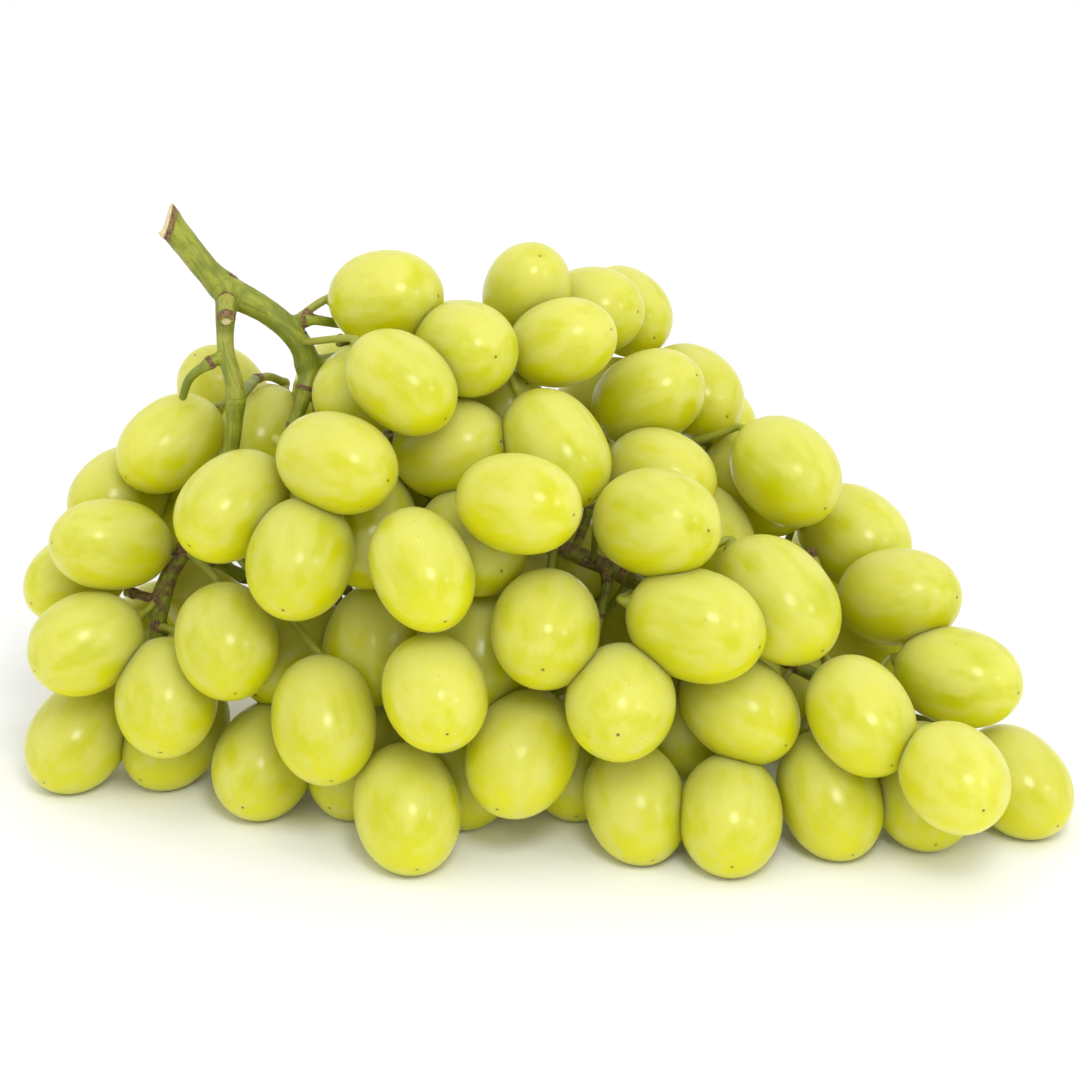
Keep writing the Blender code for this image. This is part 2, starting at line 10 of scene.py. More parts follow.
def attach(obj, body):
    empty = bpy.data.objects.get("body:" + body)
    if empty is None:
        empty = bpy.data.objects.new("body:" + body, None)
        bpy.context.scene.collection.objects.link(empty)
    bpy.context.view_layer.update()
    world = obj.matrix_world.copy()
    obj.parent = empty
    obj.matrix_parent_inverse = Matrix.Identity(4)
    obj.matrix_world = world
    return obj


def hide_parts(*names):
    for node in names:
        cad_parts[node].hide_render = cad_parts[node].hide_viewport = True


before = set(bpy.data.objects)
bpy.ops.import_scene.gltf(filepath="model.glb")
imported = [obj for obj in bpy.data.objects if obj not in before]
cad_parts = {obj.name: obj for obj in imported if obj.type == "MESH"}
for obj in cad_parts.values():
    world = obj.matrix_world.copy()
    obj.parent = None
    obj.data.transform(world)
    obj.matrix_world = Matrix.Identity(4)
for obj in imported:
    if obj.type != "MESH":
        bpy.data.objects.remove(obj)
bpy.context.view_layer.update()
mm = 0.001

# How the bunch lies and what its berries measure
bunchSizes = {
    "seed": 7,
    "lean": 25,  # degrees that the bunch leans back
    "stand": (-1.4, 25.0, 41.0),  # where its middle stands
    "berryWide": 21.4,
    "berryLong": 28.0,
    "sizeSpread": 0.02,
    "slimSpread": 0.025,
    "tiltSpread": 0.08,
    "freeEndLift": 33,  # degrees towards the viewer
    "facingLift": 60,
}

# How the berries press and keep off each other
packing = {
    "press": 1.8,  # overlap of linked neighbours in a spray
    "lightPress": 0.7,  # most overlap of the others in a spray
    "clear": 0.4,  # gap between sprays
    "aimRounds": 5,  # how closely the shortest way between two berries is found
    "aimPace": 0.6,
    "stemClear": 0.5,
    "leastClear": 0.15,
    "nearby": 1.3,  # berries further apart than this many lengths aren't compared
    "groundSink": 0.9,
    "groundClear": 0.4,
    "groundReach": 5.0,  # berries that start lower than this come to lie on the ground
    "cushionAway": 1.6,
    "cushionRoom": 0.2,
    "tiltPace": 0.02,
    "mostTilt": 0.9,
    "steps": 420,
    "pace": 0.55,
    "homePull": 0.08,  # pull to where a berry started, which fades out by this share of the steps
    "homeShare": 0.7,
}

# How stems are bent clear of the berries
routing = {
    "rounds": 120,
    "push": 0.5,
    "ease": 0.3,
    "knots": 7,
    "tries": 8,
    "shortCost": 3,  # what a pedicel shorter than its reach costs, per millimetre
    "deepCost": 4,
    "blockedCost": 60,
    "lateralRoom": 1.15,
    "straight": 0.96,  # a bend with a greater cosine than this is left out
}

# Stems as (across, up, out, radius), from the cut end onwards
stemSizes = {
    "pedicelReach": 7.0,
    "pedicelMost": 40.0,
    "pedicelRadius": 0.85,
    "cushionRadius": 1.9,
    "cushionLong": 2.2,
    "cushionGap": 0.35,
    "lateralRadius": 1.3,
    "lateralBack": 15,  # a side branch starts one knot higher for each of these millimetres
    "lateralShortest": 4,
    "lateralAim": 0.55,
    "lateralFollow": 0.45,  # how much it first runs along its stem
    "cutNormal": (-0.95, 0.25, 0.2),
}
stemPaths = {
    "peduncle": ((-76, 66, 36, 2.9), (-72, 61, 35, 2.7), (-68, 56, 34, 2.8), (-64, 52, 32, 3.3)),
    "rachis": (
        (-64, 52, 32, 3.0), (-55, 47, 30, 2.6), (-49, 41, 28, 2.5), (-45, 31, 24, 2.4), (-34, 18, 22, 2.2),
        (-16, 8, 24, 2.0), (4, -1, 27, 1.9), (20, -8, 27, 1.8), (38, -17, 25, 1.7), (54, -26, 26, 1.6),
        (68, -33, 29, 1.4), (75, -37, 32, 1.2),
    ),
    "shoulder": (
        (-64, 52, 32, 2.4), (-64, 40, 34, 1.9), (-62, 29, 33, 1.8), (-65, 12, 27, 1.7), (-73, -2, 24, 1.5),
        (-79, -12, 22, 1.4), (-80, -24, 20, 1.2),
    ),
}

# Each spray: the stem it leaves, its middle and a size for its berries. Then each berry: its centre from
# that middle, and the hour its free end points to on a clock that faces the front. Hour 0 is at the viewer.
sprays = {
    "neck": ("shoulder", (-58, 32, 4), 0.87, ((1, -10, 8, 7), (16, 1, 2, 7), (-10, 0, -8, 11))),
    "collar": ("rachis", (-30, 38, 26), 0.91, (
        (-1, 11, 7, 3), (-7, -8, 3, 8), (1, -7, 27, 4.5), (18, -4, 13, 4))),
    "crest": ("rachis", (0, 42, 8), 0.84, (
        (-17, -1, 10, 3), (-7, 13, 17, 1), (6, -4, 30, 2), (14, 6, 8, 3), (22, 5, -12, 4.5))),
    "saddle": ("rachis", (24, 20, 8), 0.91, (
        (-4, 11, 18, 2.5), (12, 12, 0, 4.5), (16, 0, -20, 4.5), (2, -8, 24, 4), (14, -22, 12, 5))),
    "heart": ("rachis", (-10, 8, 34), 0.97, (
        (14, 10, 10, 4.5), (-9, 10, 5, 2.5), (7, 0, 29, 3), (-13, -14, 27, 5), (1, -11, 10, 5),
        (2, 16, -12, 1))),
    "brow": ("rachis", (-46, 6, 32), 1.0, (
        (6, 10, 22, 3.5), (0, -10, 19, 7), (-16, 1, 12, 7.5), (15, -3, 4, 6))),
    "belt": ("rachis", (24, -10, 38), 1.04, (
        (0, 14, 17, 3.5), (8, -7, 20, 3.5), (26, -2, 7, 4.5), (-7, -23, 20, 0), (-29, -1, 15, 5.5))),
    "hollow": ("rachis", (30, -20, 10), 0.96, (
        (-22, 16, -6, 4), (-8, 2, -4, 5), (9, -5, -6, 5), (26, -11, -4, 5))),
    "flank": ("rachis", (58, -2, 16), 0.97, (
        (-6, 16, 11, 4.5), (-16, 18, -8, 5), (9, 2, -6, 4), (18, -10, 9, 3), (29, -25, 18, 4))),
    "tail": ("rachis", (77, -40, 34), 1.0, (
        (-10, 9, 19, 5), (8, -9, 25, 4.5), (19, -9, 1, 4.5), (-17, -12, 6, 5.5), (1, -12, -2, 6))),
    "foot_right": ("rachis", (28, -38, 36), 0.99, (
        (14, 4, 8, 4.5), (12, -17, 11, 5.5), (-8, -13, 6, 5.5), (-21, -14, -6, 6), (2, 0, -10, 5))),
    "keel": ("rachis", (-12, -38, 38), 1.02, (
        (9, -6, 1, 7), (2, 12, -2, 6), (-9, 7, 21, 0), (-1, -16, -12, 6), (-13, -16, 6, 5.5))),
    "cheek": ("rachis", (-44, -32, 30), 1.0, (
        (1, -5, 17, 6), (-10, -12, -2, 6.5), (11, 13, 2, 7), (7, -18, -5, 7), (-6, 11, -8, 7))),
    "wing_low": ("shoulder", (-80, -24, 18), 0.98, (
        (19, 5, 24, 5.5), (2, -9, 15, 6), (5, -15, -6, 7), (-14, 3, 12, 8), (-17, -16, -2, 7.5))),
    "wing_left": ("shoulder", (-82, -2, 8), 0.89, (
        (8, 24, 16, 8), (-6, 12, 4, 7.5), (-5, 1, 20, 9), (-16, -9, 3, 8), (9, 11, -6, 7), (12, -8, 0, 6),
        (-2, -19, -12, 7))),
}

# Berries deep inside, which join their spray last: the centre from its middle, and the hour, as above
innerBerries = {"saddle": ((-10, 9, -10, 2),), "hollow": ((42, 2, -8, 4.5),)}

# The far side: behind each berry stands another where there is room, in groups that hold together
farSide = {
    "steps": range(19, 64),
    "deepest": 51.0,
    "furthest": 50.0,
    "highest": 78.0,
    "spacing": 1.02,
    "most": 22,
    "across": (-76.4, 73.6),
    "group": 6,
    "groupReach": 1.35,
    "size": 0.98,
    "knots": 5,
    "scatter": 0.8,  # millimetres
    "lowest": 0.48,
    "offStem": 0.62,
    "outward": 8,  # how much the free ends point away from the viewer
}


# World millimetres of a point given across, up the lean and out to the front
def lay(point):
    across, up, out = point
    sinLean = math.sin(math.radians(bunchSizes["lean"]))
    cosLean = math.cos(math.radians(bunchSizes["lean"]))
    turned = (across, up * sinLean - out * cosLean, up * cosLean + out * sinLean)
    return np.array(turned) + bunchSizes["stand"]


def lengthOf(vectors):
    return np.linalg.norm(vectors, axis=-1)


def unit(vectors):
    return vectors / np.maximum(lengthOf(vectors)[..., None], 1e-9)


# A smooth hump that is 1 at 0
def bell(value, wide):
    return np.exp(-(value / wide) ** 2)


# Rounds a path of knots through its corners
def roundOff(knots, steps):
    ends = np.vstack([2 * knots[0] - knots[1], knots, 2 * knots[-1] - knots[-2]])
    rows = []
    for index in range(1, len(ends) - 2):
        before, start, end, after = ends[index - 1:index + 3]
        for step in range(steps):
            t = step / steps
            rows.append(0.5 * (2 * start + (end - before) * t
                               + (2 * before - 5 * start + 4 * end - after) * t ** 2
                               + (3 * start - before - 3 * end + after) * t ** 3))
    rows.append(knots[-1])
    return np.array(rows)


# A path of (across, up, out, radius) as world points and radii
def smoothPath(path, steps=4):
    rows = roundOff(np.array([(*lay(point[:3]), point[3]) for point in path]), steps)
    return rows[:, :3], rows[:, 3]


# A side branch leaves its stem a little above the stem's nearest point
def lateralOf(trunk, tip):
    points, radii = smoothPath(stemPaths[trunk], 2)
    end = lay(tip)
    away = lengthOf(points - end)
    nearest = int(np.argmin(away))
    back = max(0, nearest - int(away[nearest] / stemSizes["lateralBack"]))
    start = points[back]
    if np.linalg.norm(end - start) < stemSizes["lateralShortest"]:
        return points[max(0, back - 3):back + 1]
    follow = unit(points[back] - points[max(0, back - 1)] + 1e-6)
    lean = unit(end - start) * stemSizes["lateralAim"] + follow * stemSizes["lateralFollow"]
    middle = start + lean * np.linalg.norm(end - start) * 0.5
    t = np.linspace(0, 1, routing["knots"])[:, None]
    return (1 - t) ** 2 * start + 2 * t * (1 - t) * middle + t ** 2 * end


# The way a berry's free end points, for an hour on the clock
def freeEnd(hour):
    lift = math.radians(bunchSizes["freeEndLift"] if hour else bunchSizes["facingLift"])
    turn = math.radians(hour * 30 if hour else 180)
    flat = math.cos(lift)
    return lay((flat * math.sin(turn), flat * math.cos(turn), math.sin(lift))) - lay((0, 0, 0))


# Berries of the far side, each straight behind one of the front, and the way each points
def hiddenSide(front, rng):
    out = lay((0, 0, 1)) - lay((0, 0, 0))
    stem = smoothPath(stemPaths["rachis"], 2)[0]
    wide = bunchSizes["berryWide"]
    taken = list(front)
    found = []
    for centre in sorted(front, key=lambda place: place[2]):
        for step in farSide["steps"]:
            place = centre - out * step + rng.normal(0, farSide["scatter"], 3)
            place[2] = max(place[2], wide * farSide["lowest"])
            clear = lengthOf(np.array(taken) - place).min() > wide * farSide["spacing"]
            away = lengthOf(stem - place)
            offStem = away.min() > wide * farSide["offStem"]
            if clear and offStem:
                break
        inside = farSide["across"][0] < place[0] < farSide["across"][1] and place[1] < farSide["deepest"]
        inside = inside and place[2] < farSide["highest"]
        if clear and offStem and inside and away.min() < farSide["furthest"]:
            taken.append(place)
            found.append((place, unit(place - stem[int(np.argmin(away))] - farSide["outward"] * out)))
        if len(found) == farSide["most"]:
            break
    return found


def backGroups(found):
    groups = []
    for place, end in found:
        near = [min(np.linalg.norm(place - other) for other, _ in group) for group in groups]
        full = [len(group) >= farSide["group"] for group in groups]
        reach = bunchSizes["berryWide"] * farSide["groupReach"]
        fit = [index for index in range(len(groups)) if near[index] < reach and not full[index]]
        if fit:
            groups[min(fit, key=lambda index: near[index])].append((place, end))
        else:
            groups.append([(place, end)])
    return groups


# How far an ellipsoid reaches from its centre along a direction
def ellipsoidReach(longHalf, wideHalf, axis, direction):
    along = (axis * direction).sum(axis=-1)
    return np.sqrt(wideHalf ** 2 + (longHalf ** 2 - wideHalf ** 2) * along ** 2)


# The ellipsoid's furthest point along a direction, from its centre
def ellipsoidTip(longHalf, wideHalf, axis, direction):
    along = (axis * direction).sum(axis=-1, keepdims=True)
    reach = ellipsoidReach(longHalf, wideHalf, axis, direction)[..., None]
    wide = np.asarray(wideHalf)[..., None]
    tall = np.asarray(longHalf)[..., None]
    return (wide ** 2 * direction + (tall ** 2 - wide ** 2) * along * axis) / reach


# Size, slimness, tilt and spin of a number of berries
def randomShapes(rng, count):
    spread = 1 + rng.normal(0, bunchSizes["sizeSpread"], count)
    slim = 1 + rng.normal(0, bunchSizes["slimSpread"], count)
    tilt = rng.normal(0, bunchSizes["tiltSpread"], (count, 3))
    return spread, slim, tilt, rng.uniform(0, 2 * math.pi, count)


# A path with only the points that its bends need
def withoutStraights(points):
    kept = [points[0]]
    for index in range(1, len(points) - 1):
        turn = unit(points[index] - kept[-1]) @ unit(points[index + 1] - points[index])
        if turn < routing["straight"]:
            kept.append(points[index])
    return np.array(kept + [points[-1]])


# The berries' centres, axes and sizes, and the rule that settles them
class Bunch:
    def __init__(self):
        rng = np.random.default_rng(bunchSizes["seed"])
        self.berries = []  # spray, centre, size, and the way the free end points
        self.laterals = {}
        for name, (trunk, tip, _, berries) in sprays.items():
            self.laterals[name] = lateralOf(trunk, tip)
            self.addBerries(name, berries)
        self.addFarSide(rng)
        draws = [randomShapes(rng, len(self.berries))]
        for name, berries in innerBerries.items():
            self.addBerries(name, berries)
            draws += [randomShapes(rng, 1) for _ in berries]
        names, centres, sizes, ends = zip(*self.berries)
        self.count = len(centres)
        self.home = np.array(centres)
        self.centre = self.home.copy()
        self.spray = np.array(names)
        spread, slim, self.tilt, self.spin = (np.concatenate(column) for column in zip(*draws))
        size = np.array(sizes) * spread
        self.wide = bunchSizes["berryWide"] / 2 * size / np.sqrt(slim)
        self.long = bunchSizes["berryLong"] / 2 * size * slim
        self.stems = self.stemSegments()
        self.freeEnd = np.array(ends)
        self.turnAxes()
        self.links = self.sprayLinks()
        self.linked = np.zeros((self.count, self.count), bool)
        self.linked[self.links[:, 0], self.links[:, 1]] = True
        self.linked |= self.linked.T
        self.grounded = self.lowest() < packing["groundReach"]

    def addBerries(self, name, berries):
        _, tip, size, _ = sprays[name]
        for berry in berries:
            self.berries.append((name, lay(np.array(tip) + berry[:3]), size, freeEnd(berry[3])))

    # A berry of the far side that stands alone joins the spray nearest to it
    def addFarSide(self, rng):
        trunkPoints = smoothPath(stemPaths["rachis"])[0]
        frontSpray = [berry[0] for berry in self.berries]
        front = np.array([berry[1] for berry in self.berries])
        for number, group in enumerate(backGroups(hiddenSide(front, rng))):
            name = f"back_{number + 1}"
            middle = np.mean([place for place, end in group], axis=0)
            if len(group) == 1:
                name = frontSpray[int(np.argmin(lengthOf(front - middle)))]
            else:
                nearest = trunkPoints[int(np.argmin(lengthOf(trunkPoints - middle)))]
                tip = nearest + (middle - nearest) * 0.5
                self.laterals[name] = np.linspace(nearest, tip, farSide["knots"])
            self.berries += [(name, place, farSide["size"], end) for place, end in group]

    def stemSegments(self):
        rows = []
        for path in stemPaths.values():
            points, radii = smoothPath(path, 3)
            for start, end, radius in zip(points[:-1], points[1:], radii[1:]):
                rows.append((*start, *end, radius))
        return np.array(rows)

    def turnAxes(self):
        self.axis = unit(self.freeEnd + self.tilt)

    def lowest(self):
        return self.centre[:, 2] - ellipsoidReach(self.long, self.wide, self.axis, np.array((0, 0, 1.0)))

    # Gap and direction from each first berry to its second one
    def gaps(self, first, second):
        apart = self.centre[second] - self.centre[first]
        direction = unit(apart)
        for _ in range(packing["aimRounds"]):
            tips = (ellipsoidTip(self.long[first], self.wide[first], self.axis[first], direction)
                    + ellipsoidTip(self.long[second], self.wide[second], self.axis[second], direction))
            slope = apart - tips
            slope = slope - (slope * direction).sum(axis=1, keepdims=True) * direction
            direction = unit(direction + packing["aimPace"] * slope / lengthOf(apart)[:, None])
        gap = (apart * direction).sum(axis=1)
        gap = gap - ellipsoidReach(self.long[first], self.wide[first], self.axis[first], direction)
        gap = gap - ellipsoidReach(self.long[second], self.wide[second], self.axis[second], direction)
        return gap, direction

    # For each spray, the shortest set of neighbour pairs that joins all its berries
    def sprayLinks(self):
        links = []
        for name in dict.fromkeys(self.spray):
            members = list(np.flatnonzero(self.spray == name))
            joined = [members.pop(0)]
            while members:
                first, second = np.meshgrid(joined, members)
                first = first.ravel()
                second = second.ravel()
                best = int(np.argmin(self.gaps(first, second)[0]))
                links.append((first[best], second[best]))
                joined.append(second[best])
                members.remove(second[best])
        return np.array(links)

    def pushPairs(self, move):
        first, second = np.triu_indices(self.count, 1)
        reach = bunchSizes["berryLong"] * packing["nearby"]
        close = lengthOf(self.centre[first] - self.centre[second]) < reach
        first = first[close]
        second = second[close]
        gap, direction = self.gaps(first, second)
        sibling = self.spray[first] == self.spray[second]
        linked = self.linked[first, second]
        apart = np.where(sibling, -packing["lightPress"], packing["clear"])
        short = np.maximum(np.where(linked, -packing["press"], apart) - gap, 0)
        step = direction * (short * 0.5)[:, None]
        np.add.at(move, first, -step)
        np.add.at(move, second, step)
        gap, direction = self.gaps(self.links[:, 0], self.links[:, 1])
        slack = np.maximum(gap + packing["press"], 0)
        step = direction * (slack * 0.5)[:, None]
        np.add.at(move, self.links[:, 0], step)
        np.add.at(move, self.links[:, 1], -step)

    # The end of each berry where its pedicel meets it
    def pole(self):
        return self.centre - self.axis * self.long[:, None]

    def pushStems(self, move):
        start = self.stems[None, :, 0:3]
        span = self.stems[None, :, 3:6] - start
        away = self.centre[:, None] - start
        share = (away * span).sum(-1) / np.maximum((span ** 2).sum(-1), 1e-9)
        nearest = start + np.clip(share, 0, 1)[..., None] * span
        direction = self.centre[:, None] - nearest
        distance = lengthOf(direction)
        direction = direction / np.maximum(distance, 1e-6)[..., None]
        reach = ellipsoidReach(self.long[:, None], self.wide[:, None], self.axis[:, None], direction)
        short = np.maximum(reach + self.stems[None, :, 6] + packing["stemClear"] - distance, 0)
        pressed = np.maximum((short > 0).sum(axis=1), 1)[:, None]
        move += (direction * short[..., None]).sum(axis=1) / pressed

    # Leans each berry until the cushion at its pole is clear of the other berries
    def freePoles(self):
        distance, direction, reach = self.fromBerries(self.pole() - self.axis * packing["cushionAway"])
        room = stemSizes["cushionRadius"] + packing["clear"] + packing["cushionRoom"]
        short = np.maximum(reach + room - distance, 0)
        np.fill_diagonal(short, 0)
        self.tilt -= packing["tiltPace"] * (direction * short[..., None]).sum(axis=1)
        size = lengthOf(self.tilt)[:, None]
        self.tilt *= np.minimum(1, packing["mostTilt"] / np.maximum(size, 1e-6))

    def pushGround(self, move):
        low = self.lowest()
        lift = np.maximum(packing["groundClear"] - low, 0)
        move[:, 2] += np.where(self.grounded, -packing["groundSink"] - low, lift)

    # How far and which way each place lies from each berry, and how far the berry itself reaches that way
    def fromBerries(self, places):
        apart = places[:, None] - self.centre[None]
        distance = lengthOf(apart)
        direction = apart / np.maximum(distance, 1e-6)[..., None]
        reach = ellipsoidReach(self.long[None], self.wide[None], self.axis[None], direction)
        return distance, direction, reach

    # How deep a stem of a radius stands in each berry at each point, and the way out
    def depthInBerries(self, points, radius):
        distance, direction, reach = self.fromBerries(points)
        return np.maximum(reach + radius + packing["stemClear"] - distance, 0), direction

    # Bends a stem clear of the berries: each point is pushed out of them and drawn to its neighbours
    def route(self, points, radius, heldStart, heldEnd):
        points = points.copy()
        last = len(points) - heldEnd
        for _ in range(routing["rounds"]):
            depth, direction = self.depthInBerries(points, radius)
            push = (direction * depth[..., None]).sum(axis=1)
            points[heldStart:last] += routing["push"] * push[heldStart:last]
            middle = np.zeros_like(points)
            middle[1:-1] = (points[:-2] + points[2:]) / 2 - points[1:-1]
            points[heldStart:last] += routing["ease"] * middle[heldStart:last]
        depth = self.depthInBerries(points[heldStart:last], radius)[0]
        return points, float(depth.max()) if depth.size else 0.0

    def isClear(self, points, radius):
        steps = np.linspace(0, 1, 6)[:, None, None]
        places = (points[:-1] * (1 - steps) + points[1:] * steps).reshape(-1, 3)
        return self.depthInBerries(places, radius)[0].max() < packing["stemClear"] - packing["leastClear"]

    def fewestPoints(self, points, radius):
        kept = withoutStraights(points)
        return kept if self.isClear(kept, radius) else points

    # Routes the side branches, then a pedicel to each berry from the handiest place on them
    def growStems(self):
        thick = stemSizes["lateralRadius"]
        room = thick * routing["lateralRoom"]
        for name, points in self.laterals.items():
            points = self.route(points, thick, 1, 0)[0]
            while len(points) > 2 and not self.isClear(points[1:], room):
                points = self.route(points[:-1], thick, 1, 0)[0]
            self.laterals[name] = self.fewestPoints(points, room)
        trunks = [smoothPath(stemPaths[name], 2)[0] for name in ("rachis", "shoulder")]
        places = np.vstack(trunks + list(self.laterals.values()))
        ends = self.pole() - self.axis * stemSizes["cushionGap"]
        necks = ends - self.axis * stemSizes["cushionLong"]
        self.pedicels = {}
        waiting = list(range(self.count))
        while waiting:
            away = [lengthOf(places - necks[i]).min() for i in waiting]
            i = waiting.pop(int(np.argmin(away)))
            line = self.bestPedicel(places, necks[i])
            length = lengthOf(np.diff(line, axis=0)).sum()
            thin = stemSizes["pedicelRadius"]
            if length > stemSizes["pedicelMost"] or not self.isClear(line, thin):
                continue
            line = self.fewestPoints(line, thin)
            self.pedicels[i] = np.vstack([line, ends[i]])
            places = np.vstack([places, line[1:-2]])

    def bestPedicel(self, places, neck):
        thin = stemSizes["pedicelRadius"]
        lines = [np.linspace(place, neck, routing["knots"]) for place in places]
        lengths = lengthOf(places - neck)
        lengths = lengths + routing["shortCost"] * np.maximum(stemSizes["pedicelReach"] - lengths, 0)
        deep = [self.depthInBerries(line[1:-1], thin)[0].max() for line in lines]
        order = np.argsort(lengths + routing["deepCost"] * np.array(deep))[:routing["tries"]]
        best = None
        for index in order:
            line, left = self.route(lines[index], thin, 1, 1)
            cost = lengthOf(np.diff(line, axis=0)).sum() + routing["blockedCost"] * left
            if best is None or cost < best[0]:
                best = (cost, line)
        return best[1]

    def settle(self):
        steps = packing["steps"]
        for step in range(steps):
            move = np.zeros_like(self.centre)
            self.pushPairs(move)
            self.pushStems(move)
            self.pushGround(move)
            self.freePoles()
            home = max(0.0, 1 - step / (steps * packing["homeShare"])) * packing["homePull"]
            self.centre += packing["pace"] * move + home * (self.home - self.centre)
            self.turnAxes()


# A socket of a node, so that sums can be written with it
class Wire:
    def __init__(self, graph, socket):
        self.graph = graph
        self.socket = socket

    def __add__(self, other):
        return self.graph.sum("ADD", self, other)

    def __radd__(self, other):
        return self.graph.sum("ADD", other, self)

    def __sub__(self, other):
        return self.graph.sum("SUBTRACT", self, other)

    def __rsub__(self, other):
        return self.graph.sum("SUBTRACT", other, self)

    def __mul__(self, other):
        return self.graph.sum("MULTIPLY", self, other)

    def __rmul__(self, other):
        return self.graph.sum("MULTIPLY", other, self)

    def __truediv__(self, other):
        return self.graph.sum("DIVIDE", self, other)

    def __pow__(self, other):
        return self.graph.sum("POWER", self, other)


# A node tree, of a material or of Geometry Nodes, and the few ways in which nodes are added to it
class Graph:
    def __init__(self, tree):
        self.tree = tree

    # Adds a node: its settings first, then the values or links of its sockets
    def add(self, kind, settings=None, sockets=None):
        node = self.tree.nodes.new(kind)
        for name, value in (settings or {}).items():
            setattr(node, name, value)
        for name, value in (sockets or {}).items():
            self.feed(node.inputs[name], value)
        return node

    def feed(self, socket, value):
        if isinstance(value, Wire):
            self.tree.links.new(value.socket, socket)
        elif value is not None:
            socket.default_value = value

    def wire(self, kind, settings=None, sockets=None, out=0):
        return Wire(self, self.add(kind, settings, sockets).outputs[out])

    def sum(self, operation, *values):
        return self.wire("ShaderNodeMath", {"operation": operation}, dict(enumerate(values)))

    def clamped(self, value):
        return self.sum("MINIMUM", self.sum("MAXIMUM", value, 0.0), 1.0)

    # 0 below low, 1 above high, smooth between them
    def step(self, value, low, high):
        settings = {"interpolation_type": "SMOOTHSTEP"}
        return self.wire("ShaderNodeMapRange", settings, {"Value": value, "From Min": low, "From Max": high})

    def vector(self, operation, *values):
        return self.wire("ShaderNodeVectorMath", {"operation": operation}, dict(enumerate(values)))

    def scaled(self, value, factor):
        return self.wire("ShaderNodeVectorMath", {"operation": "SCALE"}, {0: value, "Scale": factor})

    def parts(self, value):
        node = self.add("ShaderNodeSeparateXYZ", None, {0: value})
        return [Wire(self, output) for output in node.outputs]

    def joined(self, x, y, z):
        return self.wire("ShaderNodeCombineXYZ", None, {0: x, 1: y, 2: z})

    def mix(self, factor, first, second):
        colours = [value if isinstance(value, Wire) else (*value, 1) for value in (first, second)]
        sockets = {0: factor, 6: colours[0], 7: colours[1]}
        return self.wire("ShaderNodeMix", {"data_type": "RGBA"}, sockets, 2)

    def noise(self, place, scale, detail=2.0, rough=0.5):
        sockets = {"Vector": place, "Scale": scale, "Detail": detail, "Roughness": rough}
        return self.wire("ShaderNodeTexNoise", None, sockets)


class Finish(Graph):
    def __init__(self, name):
        self.material = bpy.data.materials.new(name)
        self.material.use_nodes = True
        super().__init__(self.material.node_tree)
        self.shader = self.tree.nodes["Principled BSDF"]

    def attribute(self, name, out="Fac"):
        node = self.add("ShaderNodeAttribute", {"attribute_name": name})
        return Wire(self, node.outputs[out])

    def set(self, **sockets):
        for name, value in sockets.items():
            self.feed(self.shader.inputs[name.replace("_", " ")], value)

    def bump(self, height, distance, strength=1.0, normal=None):
        sockets = {"Height": height, "Distance": distance, "Strength": strength, "Normal": normal}
        return self.wire("ShaderNodeBump", None, sockets)


# A Geometry Nodes tree with named inputs
class Maker(Graph):
    def __init__(self, name, inputs):
        super().__init__(bpy.data.node_groups.new(name, "GeometryNodeTree"))
        interface = self.tree.interface
        interface.new_socket("Geometry", in_out="INPUT", socket_type="NodeSocketGeometry")
        for label, kind in inputs.items():
            interface.new_socket(label, in_out="INPUT", socket_type="NodeSocket" + kind)
        interface.new_socket("Geometry", in_out="OUTPUT", socket_type="NodeSocketGeometry")
        self.source = self.tree.nodes.new("NodeGroupInput")

    def given(self, label):
        return Wire(self, self.source.outputs[label])

    def attribute(self, name, kind="FLOAT"):
        return self.wire("GeometryNodeInputNamedAttribute", {"data_type": kind}, {"Name": name})

    def store(self, geometry, name, value, kind="FLOAT"):
        settings = {"data_type": kind, "domain": "POINT"}
        return self.wire("GeometryNodeStoreNamedAttribute", settings,
                         {"Geometry": geometry, "Name": name, "Value": value})

    def place(self):
        return self.wire("GeometryNodeInputPosition")

    def finish(self, geometry):
        solid = self.wire("GeometryNodeRealizeInstances", None, {"Geometry": geometry})
        smooth = self.wire("GeometryNodeSetShadeSmooth", None, {"Geometry": solid})
        dressed = self.wire("GeometryNodeSetMaterial", None,
                            {"Geometry": smooth, "Material": self.given("material")})
        self.add("NodeGroupOutput", None, {"Geometry": dressed})

    # Runs the tree on a mesh and gives the result as a plain mesh object
    def make(self, name, mesh, values):
        holder = inScene(name + "_holder", mesh)
        modifier = holder.modifiers.new("maker", "NODES")
        modifier.node_group = self.tree
        identifiers = {item.name: item.identifier for item in self.tree.interface.items_tree
                       if item.in_out == "INPUT"}
        for label, value in values.items():
            modifier[identifiers[label]] = value
        return plainPiece(name, holder)


def inScene(name, data):
    made = bpy.data.objects.new(name, data)
    bpy.context.scene.collection.objects.link(made)
    return made


# The mesh that a holder's modifiers make, as an object of its own. The holder goes
def plainPiece(name, holder):
    bpy.context.view_layer.update()
    graph = bpy.context.evaluated_depsgraph_get()
    made = bpy.data.meshes.new_from_object(holder.evaluated_get(graph))
    bpy.data.objects.remove(holder)
    made.name = name
    return inScene(name, made)


# A mesh of bare points or open lines that carries attributes for a tree
def carrier(name, points, edges, attributes):
    mesh = bpy.data.meshes.new(name)
    mesh.from_pydata([tuple(point) for point in np.asarray(points) * mm], edges, [])
    for label, values in attributes.items():
        values = np.asarray(values, np.float32)
        if values.ndim == 2:
            mesh.attributes.new(label, "FLOAT_VECTOR", "POINT").data.foreach_set("vector", values.ravel())
        else:
            mesh.attributes.new(label, "FLOAT", "POINT").data.foreach_set("value", values)
    return mesh


